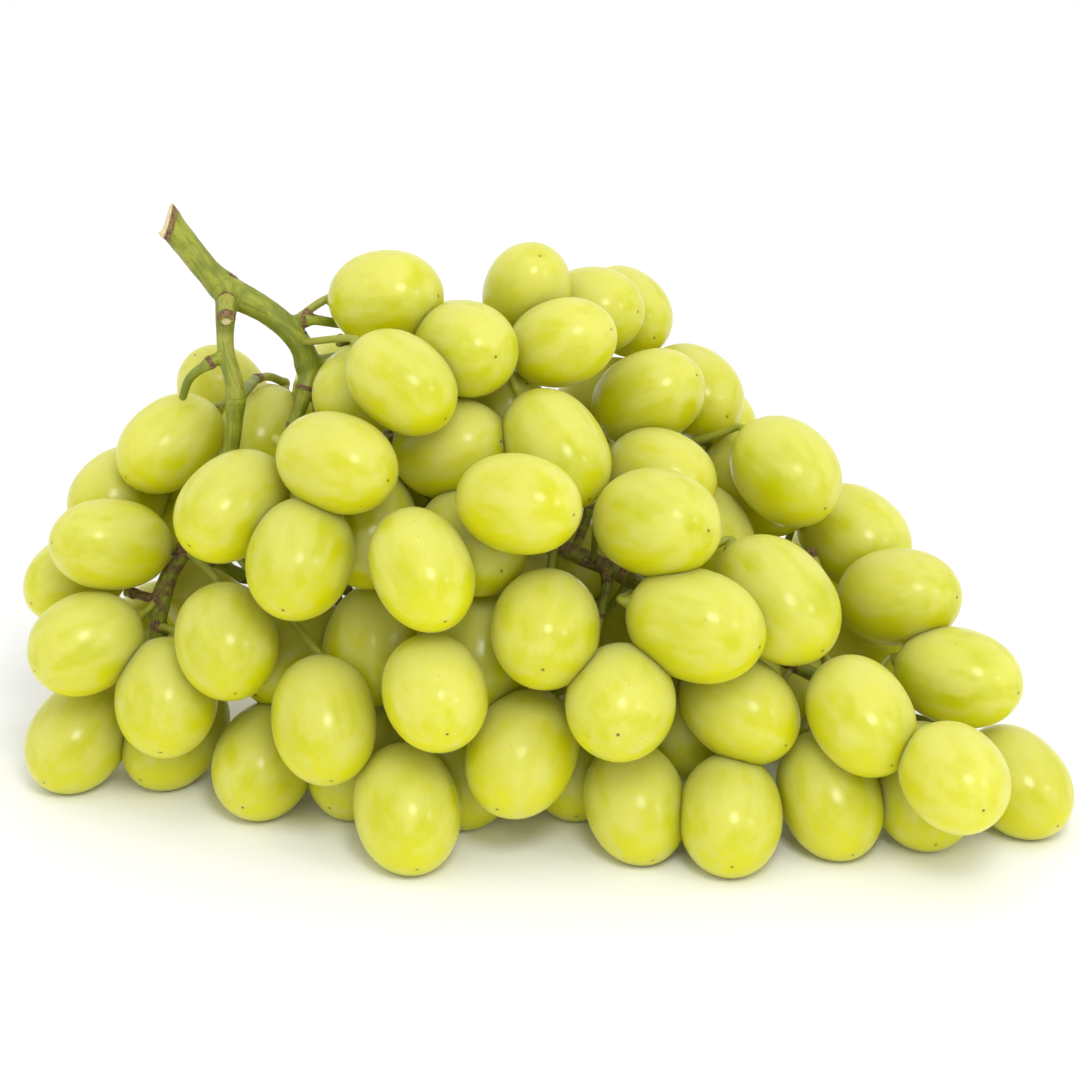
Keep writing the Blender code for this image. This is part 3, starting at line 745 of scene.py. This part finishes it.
# The skin of a white table grape
grapeSkin = {
    "green": (0.465, 0.49, 0.003),
    "yellow": (0.55, 0.54, 0.003),
    "deep": (0.64, 0.63, 0.002),  # painted glow: a brighter colour for the underside, standing in for light that comes through the berry
    "pale": (0.62, 0.61, 0.12),
    "bloomAndPaintedSheen": (0.61, 0.605, 0.18),
    "scar": (0.16, 0.10, 0.025),
    "speck": (0.20, 0.15, 0.02),
    "paintedGlowShare": 0.9,  # how much of each colour goes on
    "paleShare": 0.66,
    "streakShare": 0.14,
    "bloomShare": 0.50,
    "speckShare": 0.6,
    "scarShare": 0.85,
    "haloShare": 0.4,
    "cloudScale": 1.2,  # sizes of the patterns, greater for smaller ones
    "veinScale": 2.5,
    "streakScale": 9.0,
    "bloomScale": 1.7,
    "dentScale": 5.0,
    "fineScale": 16.0,
    "speckScale": 3.4,
    "rough": 0.36,
    "bloomRough": 0.14,
    "coat": 0.65,
    "coatRough": 0.21,
    "rim": 0.03,  # the pale sheen of the film where the skin turns away
    "flesh": 1.0,  # how much light goes into the flesh
    "fleshReach": 0.016,  # metres that it goes
    "fleshTint": (1.0, 0.92, 0.10),
}


def makeGrapeSkin():
    look = grapeSkin
    skin = Finish("grapeSkin")
    point = skin.attribute("berryPoint", "Vector")
    shifted = skin.vector("ADD", point, skin.attribute("berryShift", "Vector"))
    x, y, z = skin.parts(point)
    sx, sy, sz = skin.parts(shifted)
    tone = skin.attribute("berryTone")
    ripe = skin.attribute("berryRipe")
    skyward = skin.attribute("skyward")

    # Broad cloudiness of the flesh, and pale veins that run from end to end
    cloud = skin.noise(shifted, look["cloudScale"])
    veins = skin.noise(skin.joined(sx, sy, sz * 0.38), look["veinScale"], 2.0, 0.45)
    thin = skin.noise(skin.joined(sx, sy, sz * 0.12), look["streakScale"])
    fine = skin.noise(shifted, look["fineScale"], 4.0, 0.6)
    ripeness = skin.clamped(ripe + (cloud - 0.5) * 1.2)
    colour = skin.mix(ripeness, look["green"], look["yellow"])
    # Painted glow: the underside gets a brighter, more saturated colour, standing in for light that comes
    # through the berry
    paintedUndersideGlow = skin.step(skyward + (cloud - 0.5) * 0.7, 0.35, -0.75)
    colour = skin.mix(paintedUndersideGlow * look["paintedGlowShare"], colour, look["deep"])
    # Pale veins and cloudy flesh, with a painted sheen that makes them paler towards the top
    veinsAndPaintedSheen = skin.step(veins + (cloud - 0.5) * 0.6 + skyward * 0.16, 0.40, 0.70)
    colour = skin.mix(veinsAndPaintedSheen * look["paleShare"], colour, look["pale"])
    colour = skin.mix(skin.step(thin, 0.50, 0.72) * look["streakShare"], colour, look["pale"])

    # Bloom: a waxy film, worn off in patches. It is laid on more towards the top as a painted sheen of the
    # light from above
    patch = skin.noise(shifted, look["bloomScale"], 3.0)
    bloomAndPaintedSheen = skin.step(patch + skyward * 0.20 + (fine - 0.5) * 0.08, 0.42, 0.78)
    colour = skin.mix(bloomAndPaintedSheen * look["bloomShare"], colour, look["bloomAndPaintedSheen"])

    # Specks, and the scar of the flower at the free end
    sockets = {"Vector": shifted, "Scale": look["speckScale"]}
    cell = skin.add("ShaderNodeTexVoronoi", {"feature": "F1"}, sockets)
    distance = Wire(skin, cell.outputs["Distance"])
    pick = skin.parts(Wire(skin, cell.outputs["Color"]))[0]
    dot = (1 - skin.step(distance, 0.025, 0.060)) * skin.step(pick, 0.72, 0.80)
    colour = skin.mix(dot * look["speckShare"], colour, look["speck"])
    across = skin.sum("SQRT", x * x + y * y)
    scar = (1 - skin.step(across + (fine - 0.5) * 0.03, 0.018, 0.045)) * skin.step(z, 0.0, 0.1)
    colour = skin.mix(scar * look["scarShare"], colour, look["scar"])
    halo = (1 - skin.step(across, 0.06, 0.30)) * skin.step(z, 0.0, -0.1)
    colour = skin.mix(halo * look["haloShare"], colour, look["pale"])
    bright = skin.scaled(colour, 0.96 + tone * 0.08)

    rough = look["rough"] + bloomAndPaintedSheen * look["bloomRough"] + (fine - 0.5) * 0.08 + scar * 0.4
    waves = skin.bump(cloud, 0.0006, 0.3)
    dents = skin.bump(skin.noise(shifted, look["dentScale"]), 0.00012, 0.5, waves)
    grain = skin.bump(fine - dot * 0.6, 0.00006, 0.6, dents)
    skin.set(Base_Color=bright, Roughness=rough, Normal=grain, Coat_Weight=look["coat"] * (1 - bloomAndPaintedSheen * 0.45))
    skin.set(Coat_Roughness=look["coatRough"], Sheen_Weight=look["rim"], Sheen_Roughness=0.35,
             Subsurface_Weight=look["flesh"], Subsurface_Scale=look["fleshReach"],
             Subsurface_Radius=look["fleshTint"], IOR=1.42, Specular_IOR_Level=0.15)
    return skin.material


# The form of one berry, as shares of its half width
berryForm = {
    "sides": 48,
    "rings": 32,
    "fullness": 0.022,  # how much blunter than an ellipsoid
    "dimple": 0.07,  # where the pedicel sits
    "dimpleWide": 0.30,
    "scar": 0.022,
    "scarWide": 0.10,
    "uneven": 0.00022,  # metres
    "unevenScale": 52.0,
}


# Points become berries: each turned, sized and dented, level where it rests
def makeBerryMaker():
    inputs = {label: "Int" if isinstance(value, int) else "Float" for label, value in berryForm.items()}
    maker = Maker("berryMaker", {**inputs, "material": "Material"})
    ball = maker.wire("GeometryNodeMeshUVSphere", None,
                      {"Segments": maker.given("sides"), "Rings": maker.given("rings"), "Radius": 1.0})
    place = maker.place()
    ball = maker.store(ball, "berryPoint", place, "FLOAT_VECTOR")
    x, y, z = maker.parts(place)
    across = maker.sum("SQRT", x * x + y * y)
    full = 1 + maker.given("fullness") * 4 * z * z * (1 - z * z)
    stemEnd = maker.clamped(1 - (across / maker.given("dimpleWide")) ** 2.0)
    freeEndDent = maker.clamped(1 - (across / maker.given("scarWide")) ** 2.0)
    lift = maker.given("dimple") * stemEnd * stemEnd * maker.step(z, 0.0, -0.1)
    drop = maker.given("scar") * freeEndDent * freeEndDent * maker.step(z, 0.0, 0.1)
    shaped = maker.joined(x * full, y * full, z + lift - drop)
    ball = maker.wire("GeometryNodeSetPosition", None, {"Geometry": ball, "Position": shaped})
    turn = maker.wire("FunctionNodeEulerToRotation", None, {0: maker.attribute("turn", "FLOAT_VECTOR")})
    placed = maker.wire("GeometryNodeInstanceOnPoints", None, {
        "Points": maker.given("Geometry"), "Instance": ball, "Rotation": turn,
        "Scale": maker.attribute("size", "FLOAT_VECTOR")})
    solid = maker.wire("GeometryNodeRealizeInstances", None, {"Geometry": placed})
    wave = maker.noise(maker.place(), maker.given("unevenScale"), 1.0, 0.5) - 0.5
    normal = maker.wire("GeometryNodeInputNormal")
    shift = maker.scaled(normal, wave * maker.given("uneven") * 2)
    solid = maker.wire("GeometryNodeSetPosition", None, {"Geometry": solid, "Offset": shift})
    x, y, z = maker.parts(maker.place())
    level = maker.joined(x, y, maker.sum("MAXIMUM", z, 0.0))
    solid = maker.wire("GeometryNodeSetPosition", None, {"Geometry": solid, "Position": level})
    middle = maker.attribute("middle", "FLOAT_VECTOR")
    height = maker.parts(maker.vector("SUBTRACT", maker.place(), middle))[2]
    half = maker.parts(maker.attribute("size", "FLOAT_VECTOR"))[0]
    solid = maker.store(solid, "skyward", height / half)
    maker.finish(solid)
    return maker


def berryTurns(bunch, chosen):
    turns = []
    for i in chosen:
        axis = bunch.axis[i]
        side, other = squareFrame(axis)
        turn = bunch.spin[i]
        first = math.cos(turn) * side + math.sin(turn) * other
        matrix = Matrix((first, np.cross(axis, first), axis)).transposed()
        turns.append(tuple(matrix.to_euler()))
    return turns


def makeSprays(bunch, skin):
    maker = makeBerryMaker()
    rng = np.random.default_rng(bunchSizes["seed"] + 1)
    tone = rng.uniform(0, 1, bunch.count)
    shift = rng.uniform(-50, 50, (bunch.count, 3))
    ripe = np.clip(rng.normal(0.5, 0.16, bunch.count), 0, 1)
    for name in dict.fromkeys(bunch.spray):
        chosen = np.flatnonzero(bunch.spray == name)
        halves = np.stack([bunch.wide[chosen], bunch.wide[chosen], bunch.long[chosen]], axis=1) * mm
        mesh = carrier(name, bunch.centre[chosen], [], {
            "turn": berryTurns(bunch, chosen), "size": halves, "middle": bunch.centre[chosen] * mm,
            "berryTone": tone[chosen], "berryRipe": ripe[chosen], "berryShift": shift[chosen]})
        piece = maker.make(f"{name}_grapes", mesh, {**berryForm, "material": skin})
        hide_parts(f"{name}_berries")
        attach(piece, "root")


# Two directions square to an axis
def squareFrame(axis):
    helper = np.array((0, 0, 1.0)) if abs(axis[2]) < 0.8 else np.array((1.0, 0, 0))
    side = unit(np.cross(axis, helper))
    return side, np.cross(axis, side)


# The green wood of the stalk, its corky joints and its cut end
stalkWood = {
    "green": (0.17, 0.205, 0.008),
    "light": (0.33, 0.36, 0.024),
    "young": (0.42, 0.42, 0.055),
    "yellow": (0.43, 0.36, 0.080),
    "cork": (0.29, 0.18, 0.070),
    "darkCork": (0.095, 0.048, 0.018),
    "cutWood": (0.84, 0.72, 0.42),
    "pith": (0.62, 0.49, 0.22),
    "rough": 0.48,
    "grainScale": 3.2,  # sizes of the patterns, greater for smaller ones
    "broadScale": 160.0,
    "spotScale": 600.0,
    "fineScale": 1500.0,
    "yellowShare": 0.45,  # how much of each colour goes on
    "youngShare": 0.5,
    "lineShare": 0.6,
    "pithShare": 0.5,
}


def makeStalkWood():
    look = stalkWood
    wood = Finish("stalkWood")
    along = wood.attribute("along")
    around = wood.attribute("around", "Vector")
    cork = wood.attribute("cork")
    cut = wood.attribute("cut")
    place = wood.wire("ShaderNodeTexCoord", None, None, 3)
    ax, ay, _ = wood.parts(around)
    grain = wood.noise(wood.joined(ax, ay, along * 60), look["grainScale"], 4.0, 0.6)
    broad = wood.noise(place, look["broadScale"], 3.0, 0.55)
    spots = wood.noise(place, look["spotScale"])
    fine = wood.noise(place, look["fineScale"], 4.0, 0.6)
    colour = wood.mix(wood.step(grain + (broad - 0.5) * 0.8, 0.30, 0.72), look["green"], look["light"])
    colour = wood.mix(wood.step(broad, 0.50, 0.75) * look["yellowShare"], colour, look["yellow"])
    colour = wood.mix(wood.attribute("young") * look["youngShare"], colour, look["young"])
    # Brown where the bark has turned to cork: rings at the joints, and thin lines along the grain
    broken = (broad - 0.5) * 0.6 + (spots - 0.5) * 0.9 + (fine - 0.5) * 0.3
    corky = wood.step(cork + broken, 0.45, 0.72)
    lines = wood.step(grain + (broad - 0.5) * 0.7, 0.64, 0.76) * look["lineShare"]
    bark = wood.mix(wood.step(fine, 0.35, 0.65), look["darkCork"], look["cork"])
    colour = wood.mix(wood.sum("MAXIMUM", corky, lines), colour, bark)
    face = wood.mix(wood.step(fine, 0.40, 0.62) * look["pithShare"], look["cutWood"], look["pith"])
    colour = wood.mix(cut, colour, face)
    rough = look["rough"] + corky * 0.3 + (fine - 0.5) * 0.2
    ridges = wood.bump(grain, 0.00035, 0.7)
    crust = wood.bump(fine * (0.25 + corky * 1.2), 0.00022, 0.8, ridges)
    wood.set(Base_Color=colour, Roughness=rough, Normal=crust)
    wood.set(Subsurface_Weight=0.12, Subsurface_Scale=0.0012, Subsurface_Radius=(1.0, 0.9, 0.3))
    return wood.material


# A closed tube along points, as vertices and faces. An end normal cuts its first end on the slant
def tube(points, radii, sides, endNormal=None):
    points = np.asarray(points, float)
    tangents = unit(np.gradient(points, axis=0))
    side = squareFrame(tangents[0])[0]
    vertices = []
    for index, (point, tangent, radius) in enumerate(zip(points, tangents, radii)):
        side = unit(side - tangent * (side @ tangent))
        other = np.cross(tangent, side)
        for corner in range(sides):
            turn = 2 * math.pi * corner / sides
            offset = radius * (math.cos(turn) * side + math.sin(turn) * other)
            if index == 0 and endNormal is not None:
                offset = offset - tangent * (offset @ endNormal) / (tangent @ endNormal)
            vertices.append(point + offset)
    faces = [tuple(range(sides))[::-1], tuple(range(len(vertices) - sides, len(vertices)))]
    for ring in range(len(points) - 1):
        low = ring * sides
        for corner in range(sides):
            after = (corner + 1) % sides
            faces.append((low + corner, low + after, low + sides + after, low + sides + corner))
    return vertices, faces


# The stems: trunks and side branches are one wood, grown together at their joints
woodForm = {
    "voxel": 0.00030,
    "steps": 12,
    "lateralSteps": 6,
    "twigSteps": 14,
    "sides": 20,
    "thinSides": 14,
    "collarLong": 2.4,
    "swell": 0.20,
    "flare": 0.10,  # at the cut end
    "flareLong": 1.8,
    "wander": 0.06,  # how unevenly thick the stems are
    "lateralBase": 1.2,
    "lateralTip": 0.85,
    "twigSwellLong": 0.09,  # as a share of the twig
    "ease": 8,
}

# Ends that run on inside their neighbour, so that no end face shows at the fork
runOn = {
    "peduncle": ((-60, 49.5, 31, 2.7), (-56, 47.4, 30.2, 2.0)),
    "rachis": ((-66.5, 54.5, 33, 2.4),),
    "shoulder": ((-65.5, 55, 32.4, 1.8),),
}

# Short twigs that bear nothing: their path, and rings of cork as (place along it, swelling, strength)
twigs = {
    "forkStub": {"path": ((-63.6, 51, 34, 1.8), (-63.6, 48.5, 37.5, 1.5), (-63.4, 44.8, 40.5, 1.65)),
                 "rings": ((0.34, 0.30, 1.3), (0.88, 0.30, 1.7)), "cut": True},
    "shoulderTwig": {"path": ((-64.2, 38.5, 33.8, 1.25), (-67.5, 36.4, 34.4, 1.1),
                              (-71.5, 33.6, 31.5, 1.0), (-73.5, 29.5, 27, 0.9)),
                     "rings": ((0.30, 0.42, 1.5),)},
    "collarTwig": {"path": ((-50, 45.6, 29, 1.3), (-46.5, 45.8, 30, 1.15), (-42, 45.2, 28, 1.05),
                            (-37, 44.5, 25, 1.0)), "rings": ((0.24, 0.50, 1.5),)},
    "collarWart": {"path": ((-47.6, 45.6, 30, 1.2), (-46.9, 48.0, 30.8, 0.8)), "rings": ((0.8, 0.2, 1.3),)},
    "knobTwig": {"path": ((-36.5, 37.5, 24.5, 0.9), (-37.5, 41, 26.5, 0.95), (-41.2, 41.6, 28.5, 1.15)),
                 "rings": ((0.92, 0.35, 1.7),)},
    "lowFork": {"path": ((-46.8, 36, 26.5, 2.1), (-48, 31, 26.5, 1.8), (-49.6, 26, 26, 1.5),
                         (-51, 22, 25, 1.4)), "rings": ((0.30, 0.25, 1.3), (0.85, 0.2, 1.2))},
    "forkWart": {"path": ((-63, 53.0, 31.5, 1.3), (-62.4, 54.9, 31.5, 0.75)), "rings": ((0.95, 0.1, 1.0),)},
    "heartTwig": {"path": ((14, -5.4, 28, 1.2), (14.8, -9, 31, 1.0), (13.6, -15, 33, 0.95),
                           (12.2, -20.5, 34, 0.95), (10, -25, 33, 0.9)),
                  "rings": ((0.25, 0.25, 1.3), (0.55, 0.25, 1.2))},
    "browTwig": {"path": ((-33.5, 18.5, 22, 1.1), (-31.6, 21.5, 19.5, 1.0), (-30.3, 24, 17, 0.95),
                          (-28.5, 27.5, 14, 0.8)), "rings": ((0.6, 0.25, 1.4),)},
    "beltTwig": {"path": ((8, -2.5, 27, 1.1), (10.5, 3.5, 23, 1.0), (11.7, 7.5, 19.5, 1.05),
                          (13, 11, 16, 0.8)), "rings": ((0.55, 0.25, 1.4),)},
    "cheekTwig": {"path": ((-42, -8, 25, 1.1), (-40.6, -9.6, 21.5, 1.1), (-39.0, -10.9, 17, 1.1),
                           (-36.8, -12.2, 13, 0.8)), "rings": ((0.5, 0.25, 1.4),)},
    "leftTwig": {"path": ((-72.5, -2.5, 23.5, 1.2), (-67, -4.5, 20, 1.15), (-62, -7.4, 15, 1.3),
                          (-58.5, -9, 11, 0.9)), "rings": ((0.3, 0.3, 1.4), (0.7, 0.3, 1.4))},
    "lowTwig": {"path": ((-79.5, -12.5, 22, 1.1), (-83, -11.5, 20, 1.05), (-86.2, -10.9, 17.5, 1.05)),
                "rings": ((0.7, 0.3, 1.4),)},
}

# Where the stems have gone brown: the middle of the stretch and how far it reaches
brownStretches = ((-78, -6, 22, 13), (12, -4, 27, 14), (45, -20, 26, 14), (-33, 18, 22, 9))


# Thickens a stem at its joints and lets it wander a little
def stemRadii(points, radii, joints, rng):
    radii = np.array(radii, float)
    for joint, strength in joints:
        away = lengthOf(points - joint)
        radii = radii * (1 + woodForm["swell"] * strength * bell(away, woodForm["collarLong"]))
    wander = np.convolve(rng.normal(0, 1, len(radii) + 10), np.ones(7) / 7, "same")[5:-5]
    return radii * (1 + woodForm["wander"] * wander)


# Every stem as world points and radii, and the joints where cork forms
def stemLines(bunch, rng):
    lines = {}
    for name, path in stemPaths.items():
        path = path + runOn[name] if name == "peduncle" else runOn[name] + path
        lines[name] = smoothPath(path, woodForm["steps"])
    points, radii = lines["peduncle"]
    fromCut = lengthOf(points - points[0])
    flare = woodForm["flare"] * bell(fromCut, woodForm["flareLong"])
    lines["peduncle"] = (points, radii * (1 + flare))
    thick = stemSizes["lateralRadius"]
    for name, points in bunch.laterals.items():
        taper = np.linspace(thick * woodForm["lateralBase"], thick * woodForm["lateralTip"], len(points))
        rows = roundOff(np.column_stack([points, taper]), woodForm["lateralSteps"])
        lines[name] = (rows[:, :3], rows[:, 3])
    swells = [(lines[name][0][0], 1.0) for name in bunch.laterals]
    joints = [(point, strength, None) for point, strength in swells]
    joints += [(line[0] + unit(line[1] - line[0]) * 0.8, 0.85, None) for line in bunch.pedicels.values()]
    for name, (points, radii) in lines.items():
        lines[name] = (points, stemRadii(points, radii, swells, rng))
    ends = []
    for name, twig in twigs.items():
        points, radii = smoothPath(twig["path"], woodForm["twigSteps"])
        share = np.linspace(0, 1, len(points))
        for place, swell, strength in twig["rings"]:
            radii = radii * (1 + swell * bell(share - place, woodForm["twigSwellLong"]))
            at = int(place * (len(points) - 1))
            joints.append((points[at], strength, unit(points[at] - points[at - 1])))
        lines[name] = (points, radii)
        if twig.get("cut"):
            ends.append((points[-1], unit(points[-1] - points[-2]), radii[-1]))
    return lines, joints, ends


def makeWood(bunch, material):
    rng = np.random.default_rng(bunchSizes["seed"] + 2)
    normal = unit(lay(stemSizes["cutNormal"]) - lay((0, 0, 0)))
    lines, joints, ends = stemLines(bunch, rng)
    ends.append((lines["peduncle"][0][0], normal, lines["peduncle"][1][0]))
    vertices = []
    faces = []
    for name, (points, radii) in lines.items():
        sides = woodForm["sides"] if name in stemPaths else woodForm["thinSides"]
        rows, loops = tube(points, radii, sides, normal if name == "peduncle" else None)
        base = len(vertices)
        vertices += rows
        faces += [tuple(base + corner for corner in loop) for loop in loops]
    mesh = bpy.data.meshes.new("wood")
    mesh.from_pydata([tuple(vertex) for vertex in np.asarray(vertices) * mm], [], faces)
    holder = inScene("wood_holder", mesh)
    grown = holder.modifiers.new("grow", "REMESH")
    grown.mode = "VOXEL"
    grown.voxel_size = woodForm["voxel"]
    eased = holder.modifiers.new("ease", "SMOOTH")
    eased.iterations = woodForm["ease"]
    eased.factor = 0.5
    piece = plainPiece("stalk_wood", holder)
    made = piece.data
    paintWood(made, lines.values(), joints, ends)
    made.polygons.foreach_set("use_smooth", np.ones(len(made.polygons), bool))
    made.materials.clear()
    made.materials.append(material)
    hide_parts("stalk")
    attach(piece, "root")
    print(f"wood: {len(made.polygons)} faces")


# Where cork and bare cut wood show, in millimetres
corkForm = {
    "collarAway": 1.2,  # a collar of cork stands this far from its joint
    "collarWide": 0.8,
    "ringWide": 0.55,
    "ringReach": 3,
    "brown": 0.62,  # how corky a brown stretch is
    "thickStem": 2.2,  # a thinner one shows only the heart of its cut
    "heart": 1.1,
    "cutCork": 1.1,  # how corky the bark by a cut is, and how far from it
    "cutCorkAway": 0.8,
    "cutCorkWide": 1.0,
}


# Writes on each vertex where it stands along and around its stem, and how corky it is
def paintWood(mesh, lines, joints, ends):
    count = len(mesh.vertices)
    places = np.empty(count * 3, np.float32)
    mesh.vertices.foreach_get("co", places)
    places = places.reshape(-1, 3).astype(float) / mm
    stations = []
    for points, radii in lines:
        length = np.concatenate([[0], np.cumsum(lengthOf(np.diff(points, axis=0)))])
        tangents = unit(np.gradient(points, axis=0))
        for point, tangent, distance in zip(points, tangents, length):
            stations.append((*point, *tangent, distance))
    stations = np.array(stations)
    tree = KDTree(len(stations))
    for index, station in enumerate(stations):
        tree.insert(station[:3], index)
    tree.balance()
    nearest = np.array([tree.find(place)[1] for place in places])
    found = stations[nearest]
    offset = places - found[:, :3]
    rise = (offset * found[:, 3:6]).sum(axis=1)
    around = unit(offset - found[:, 3:6] * rise[:, None])
    along = found[:, 6] + rise
    cork = np.zeros(count)
    for joint, strength, axis in joints:
        away = lengthOf(places - joint)
        if axis is None:
            ring = bell(away - corkForm["collarAway"], corkForm["collarWide"])
        else:
            ring = bell((places - joint) @ axis, corkForm["ringWide"]) * (away < corkForm["ringReach"])
        cork = np.maximum(cork, strength * ring)
    for *place, reach in brownStretches:
        away = lengthOf(places - lay(place))
        cork = np.maximum(cork, corkForm["brown"] * np.exp(-(away / reach) ** 4))
    cut = np.zeros(count)
    for place, normal, radius in ends:
        beyond = (places - place) @ normal
        away = lengthOf(places - place)
        flat = lengthOf(places - place - beyond[:, None] * normal)
        near = away < radius * 2.4
        bare = radius * 1.5 if radius > corkForm["thickStem"] else corkForm["heart"]
        bark = np.clip((bare - flat) / 0.3, 0, 1)
        cut = np.maximum(cut, np.clip((beyond + 0.30) / 0.15, 0, 1) * near * bark)
        edge = bell(beyond + corkForm["cutCorkAway"], corkForm["cutCorkWide"])
        cork = np.maximum(cork, edge * near * corkForm["cutCork"])
    for label, values in (("along", along * mm), ("cork", cork), ("cut", cut)):
        mesh.attributes.new(label, "FLOAT", "POINT").data.foreach_set("value", values.astype(np.float32))
    layer = mesh.attributes.new("around", "FLOAT_VECTOR", "POINT")
    layer.data.foreach_set("vector", around.astype(np.float32).ravel())


# The small stalks that carry the berries
pedicelForm = {
    "sides": 14,
    "steps": 8,
    "spacing": 0.35,  # between its rings
    "uneven": 0.10,
    "base": 1.25,  # thickness at its root, as a share of its own
    "baseLong": 1.6,
    "cushion": 2.0,
    "cushionLong": 2.4,
    "into": 0.9,  # how far its cushion stands into the berry's dimple
    "lip": 0.3,
    "lipNarrow": 0.86,
    "rootCork": 1.1,
    "cushionCork": 0.5,
    "corkAway": 0.8,
    "corkWide": 1.2,
}


def makePedicelMaker():
    maker = Maker("pedicelMaker", {"sides": "Int", "material": "Material"})
    curve = maker.wire("GeometryNodeMeshToCurve", None, {"Mesh": maker.given("Geometry")})
    ring = maker.wire("GeometryNodeCurvePrimitiveCircle", None, {"Resolution": maker.given("sides")})
    skin = maker.wire("GeometryNodeCurveToMesh", None, {
        "Curve": curve, "Profile Curve": ring, "Scale": maker.attribute("thick"), "Fill Caps": True})
    maker.finish(skin)
    return maker


def makePedicels(bunch, material):
    form = pedicelForm
    rng = np.random.default_rng(bunchSizes["seed"] + 3)
    points = []
    edges = []
    thick = []
    cork = []
    along = []
    for i, line in bunch.pedicels.items():
        rows = roundOff(np.vstack([line[:-1], line[-1] + bunch.axis[i] * form["into"]]), form["steps"])
        length = np.concatenate([[0], np.cumsum(lengthOf(np.diff(rows, axis=0)))])
        wanted = np.arange(0, length[-1], form["spacing"])
        wanted = np.append(wanted, length[-1])
        rows = np.column_stack([np.interp(wanted, length, rows[:, k]) for k in range(3)])
        left = wanted[-1] - wanted
        radius = stemSizes["pedicelRadius"] * (1 + form["uneven"] * rng.normal())
        swell = 1 + (form["base"] - 1) * bell(wanted, form["baseLong"])
        flare = (form["cushion"] - radius) * np.clip(1 - left / form["cushionLong"], 0, 1) ** 0.8
        shape = radius * swell + flare
        shape = shape * np.where(left < form["lip"], form["lipNarrow"], 1.0)
        base = len(points)
        points += list(rows)
        edges += [(base + k, base + k + 1) for k in range(len(rows) - 1)]
        thick += list(shape * mm)
        rootCork = form["rootCork"] * bell(wanted - form["corkAway"], form["corkWide"])
        cushionCork = form["cushionCork"] * bell(left, form["corkWide"])
        cork += list(np.maximum(rootCork, cushionCork))
        along += list(wanted * mm)
    mesh = carrier("pedicels", points, edges, {
        "thick": thick, "cork": cork, "along": along, "young": np.ones(len(points))})
    maker = makePedicelMaker()
    piece = maker.make("stalk_pedicels", mesh, {"sides": form["sides"], "material": material})
    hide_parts("stalk")
    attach(piece, "root")


# A pale floor, soft lights and the camera
studio = {
    "lean": 25,  # camera's height in degrees
    "lens": 150,
    "away": 0.934,
    "aim": (-0.4, -2.2, 53.7),
    "world": 0.93,
    "paper": ((0.90, 0.90, 0.90), (0.92, 0.92, 0.92)),
    # Bearing and height in degrees, distance, width and power. Bearing 0 is in front, 90 right
    "key": (11, 49, 1.2, 0.38, 4.8),
    "side": (55, 30, 1.2, 0.20, 1.0),
    "top": (-20, 80, 1.3, 1.2, 1.6),
}


def makeFloor():
    paper = Finish("studioPaper")
    place = paper.wire("ShaderNodeTexCoord", None, None, 3)
    tint = paper.noise(place, 900.0, 2.0)
    paper.set(Base_Color=paper.mix(tint, *studio["paper"]), Roughness=0.9)
    work = bmesh.new()
    bmesh.ops.create_grid(work, x_segments=1, y_segments=1, size=3.0)
    mesh = bpy.data.meshes.new("studio_floor")
    work.to_mesh(mesh)
    work.free()
    mesh.materials.append(paper.material)
    floor = inScene("studio_floor", mesh)


# A round light turned to the bunch
def addSoftbox(name, bearing, height, away, size, power):
    data = bpy.data.lights.new(name, "AREA")
    data.shape = "DISK"
    data.size = size
    data.energy = power
    lamp = inScene(name, data)
    flat = away * math.cos(math.radians(height))
    target = Vector(studio["aim"]) * mm
    turn = math.radians(bearing)
    lamp.location = target + Vector((flat * math.sin(turn), -flat * math.cos(turn),
                                     away * math.sin(math.radians(height))))
    lamp.rotation_euler = (target - lamp.location).to_track_quat("-Z", "Y").to_euler()


def makeStudio():
    makeFloor()
    world = bpy.data.worlds.new("studioWorld")
    bpy.context.scene.world = world
    world.use_nodes = True
    world.node_tree.nodes["Background"].inputs["Color"].default_value = (1, 1, 1, 1)
    world.node_tree.nodes["Background"].inputs["Strength"].default_value = studio["world"]
    for name in ("key", "side", "top"):
        addSoftbox(name, *studio[name])
    camera = bpy.data.cameras.new("camera")
    camera.lens = studio["lens"]
    camera.sensor_width = 36
    camera.clip_end = 20
    eye = inScene("camera", camera)
    target = Vector(studio["aim"]) * mm
    lean = math.radians(studio["lean"])
    eye.location = target + Vector((0, -studio["away"] * math.cos(lean), studio["away"] * math.sin(lean)))
    eye.rotation_euler = (math.radians(90) - lean, 0, 0)
    bpy.context.scene.camera = eye
    bpy.context.scene.view_settings.view_transform = "Standard"


bunch = Bunch()
bunch.settle()
bunch.growStems()
print(f"bunch: {bunch.count} berries settled, {len(bunch.pedicels)} pedicels routed")
skin = makeGrapeSkin()
makeSprays(bunch, skin)
print("berries made")
wood = makeStalkWood()
makeWood(bunch, wood)
makePedicels(bunch, wood)
print("stalk made")
makeStudio()
print("studio set")
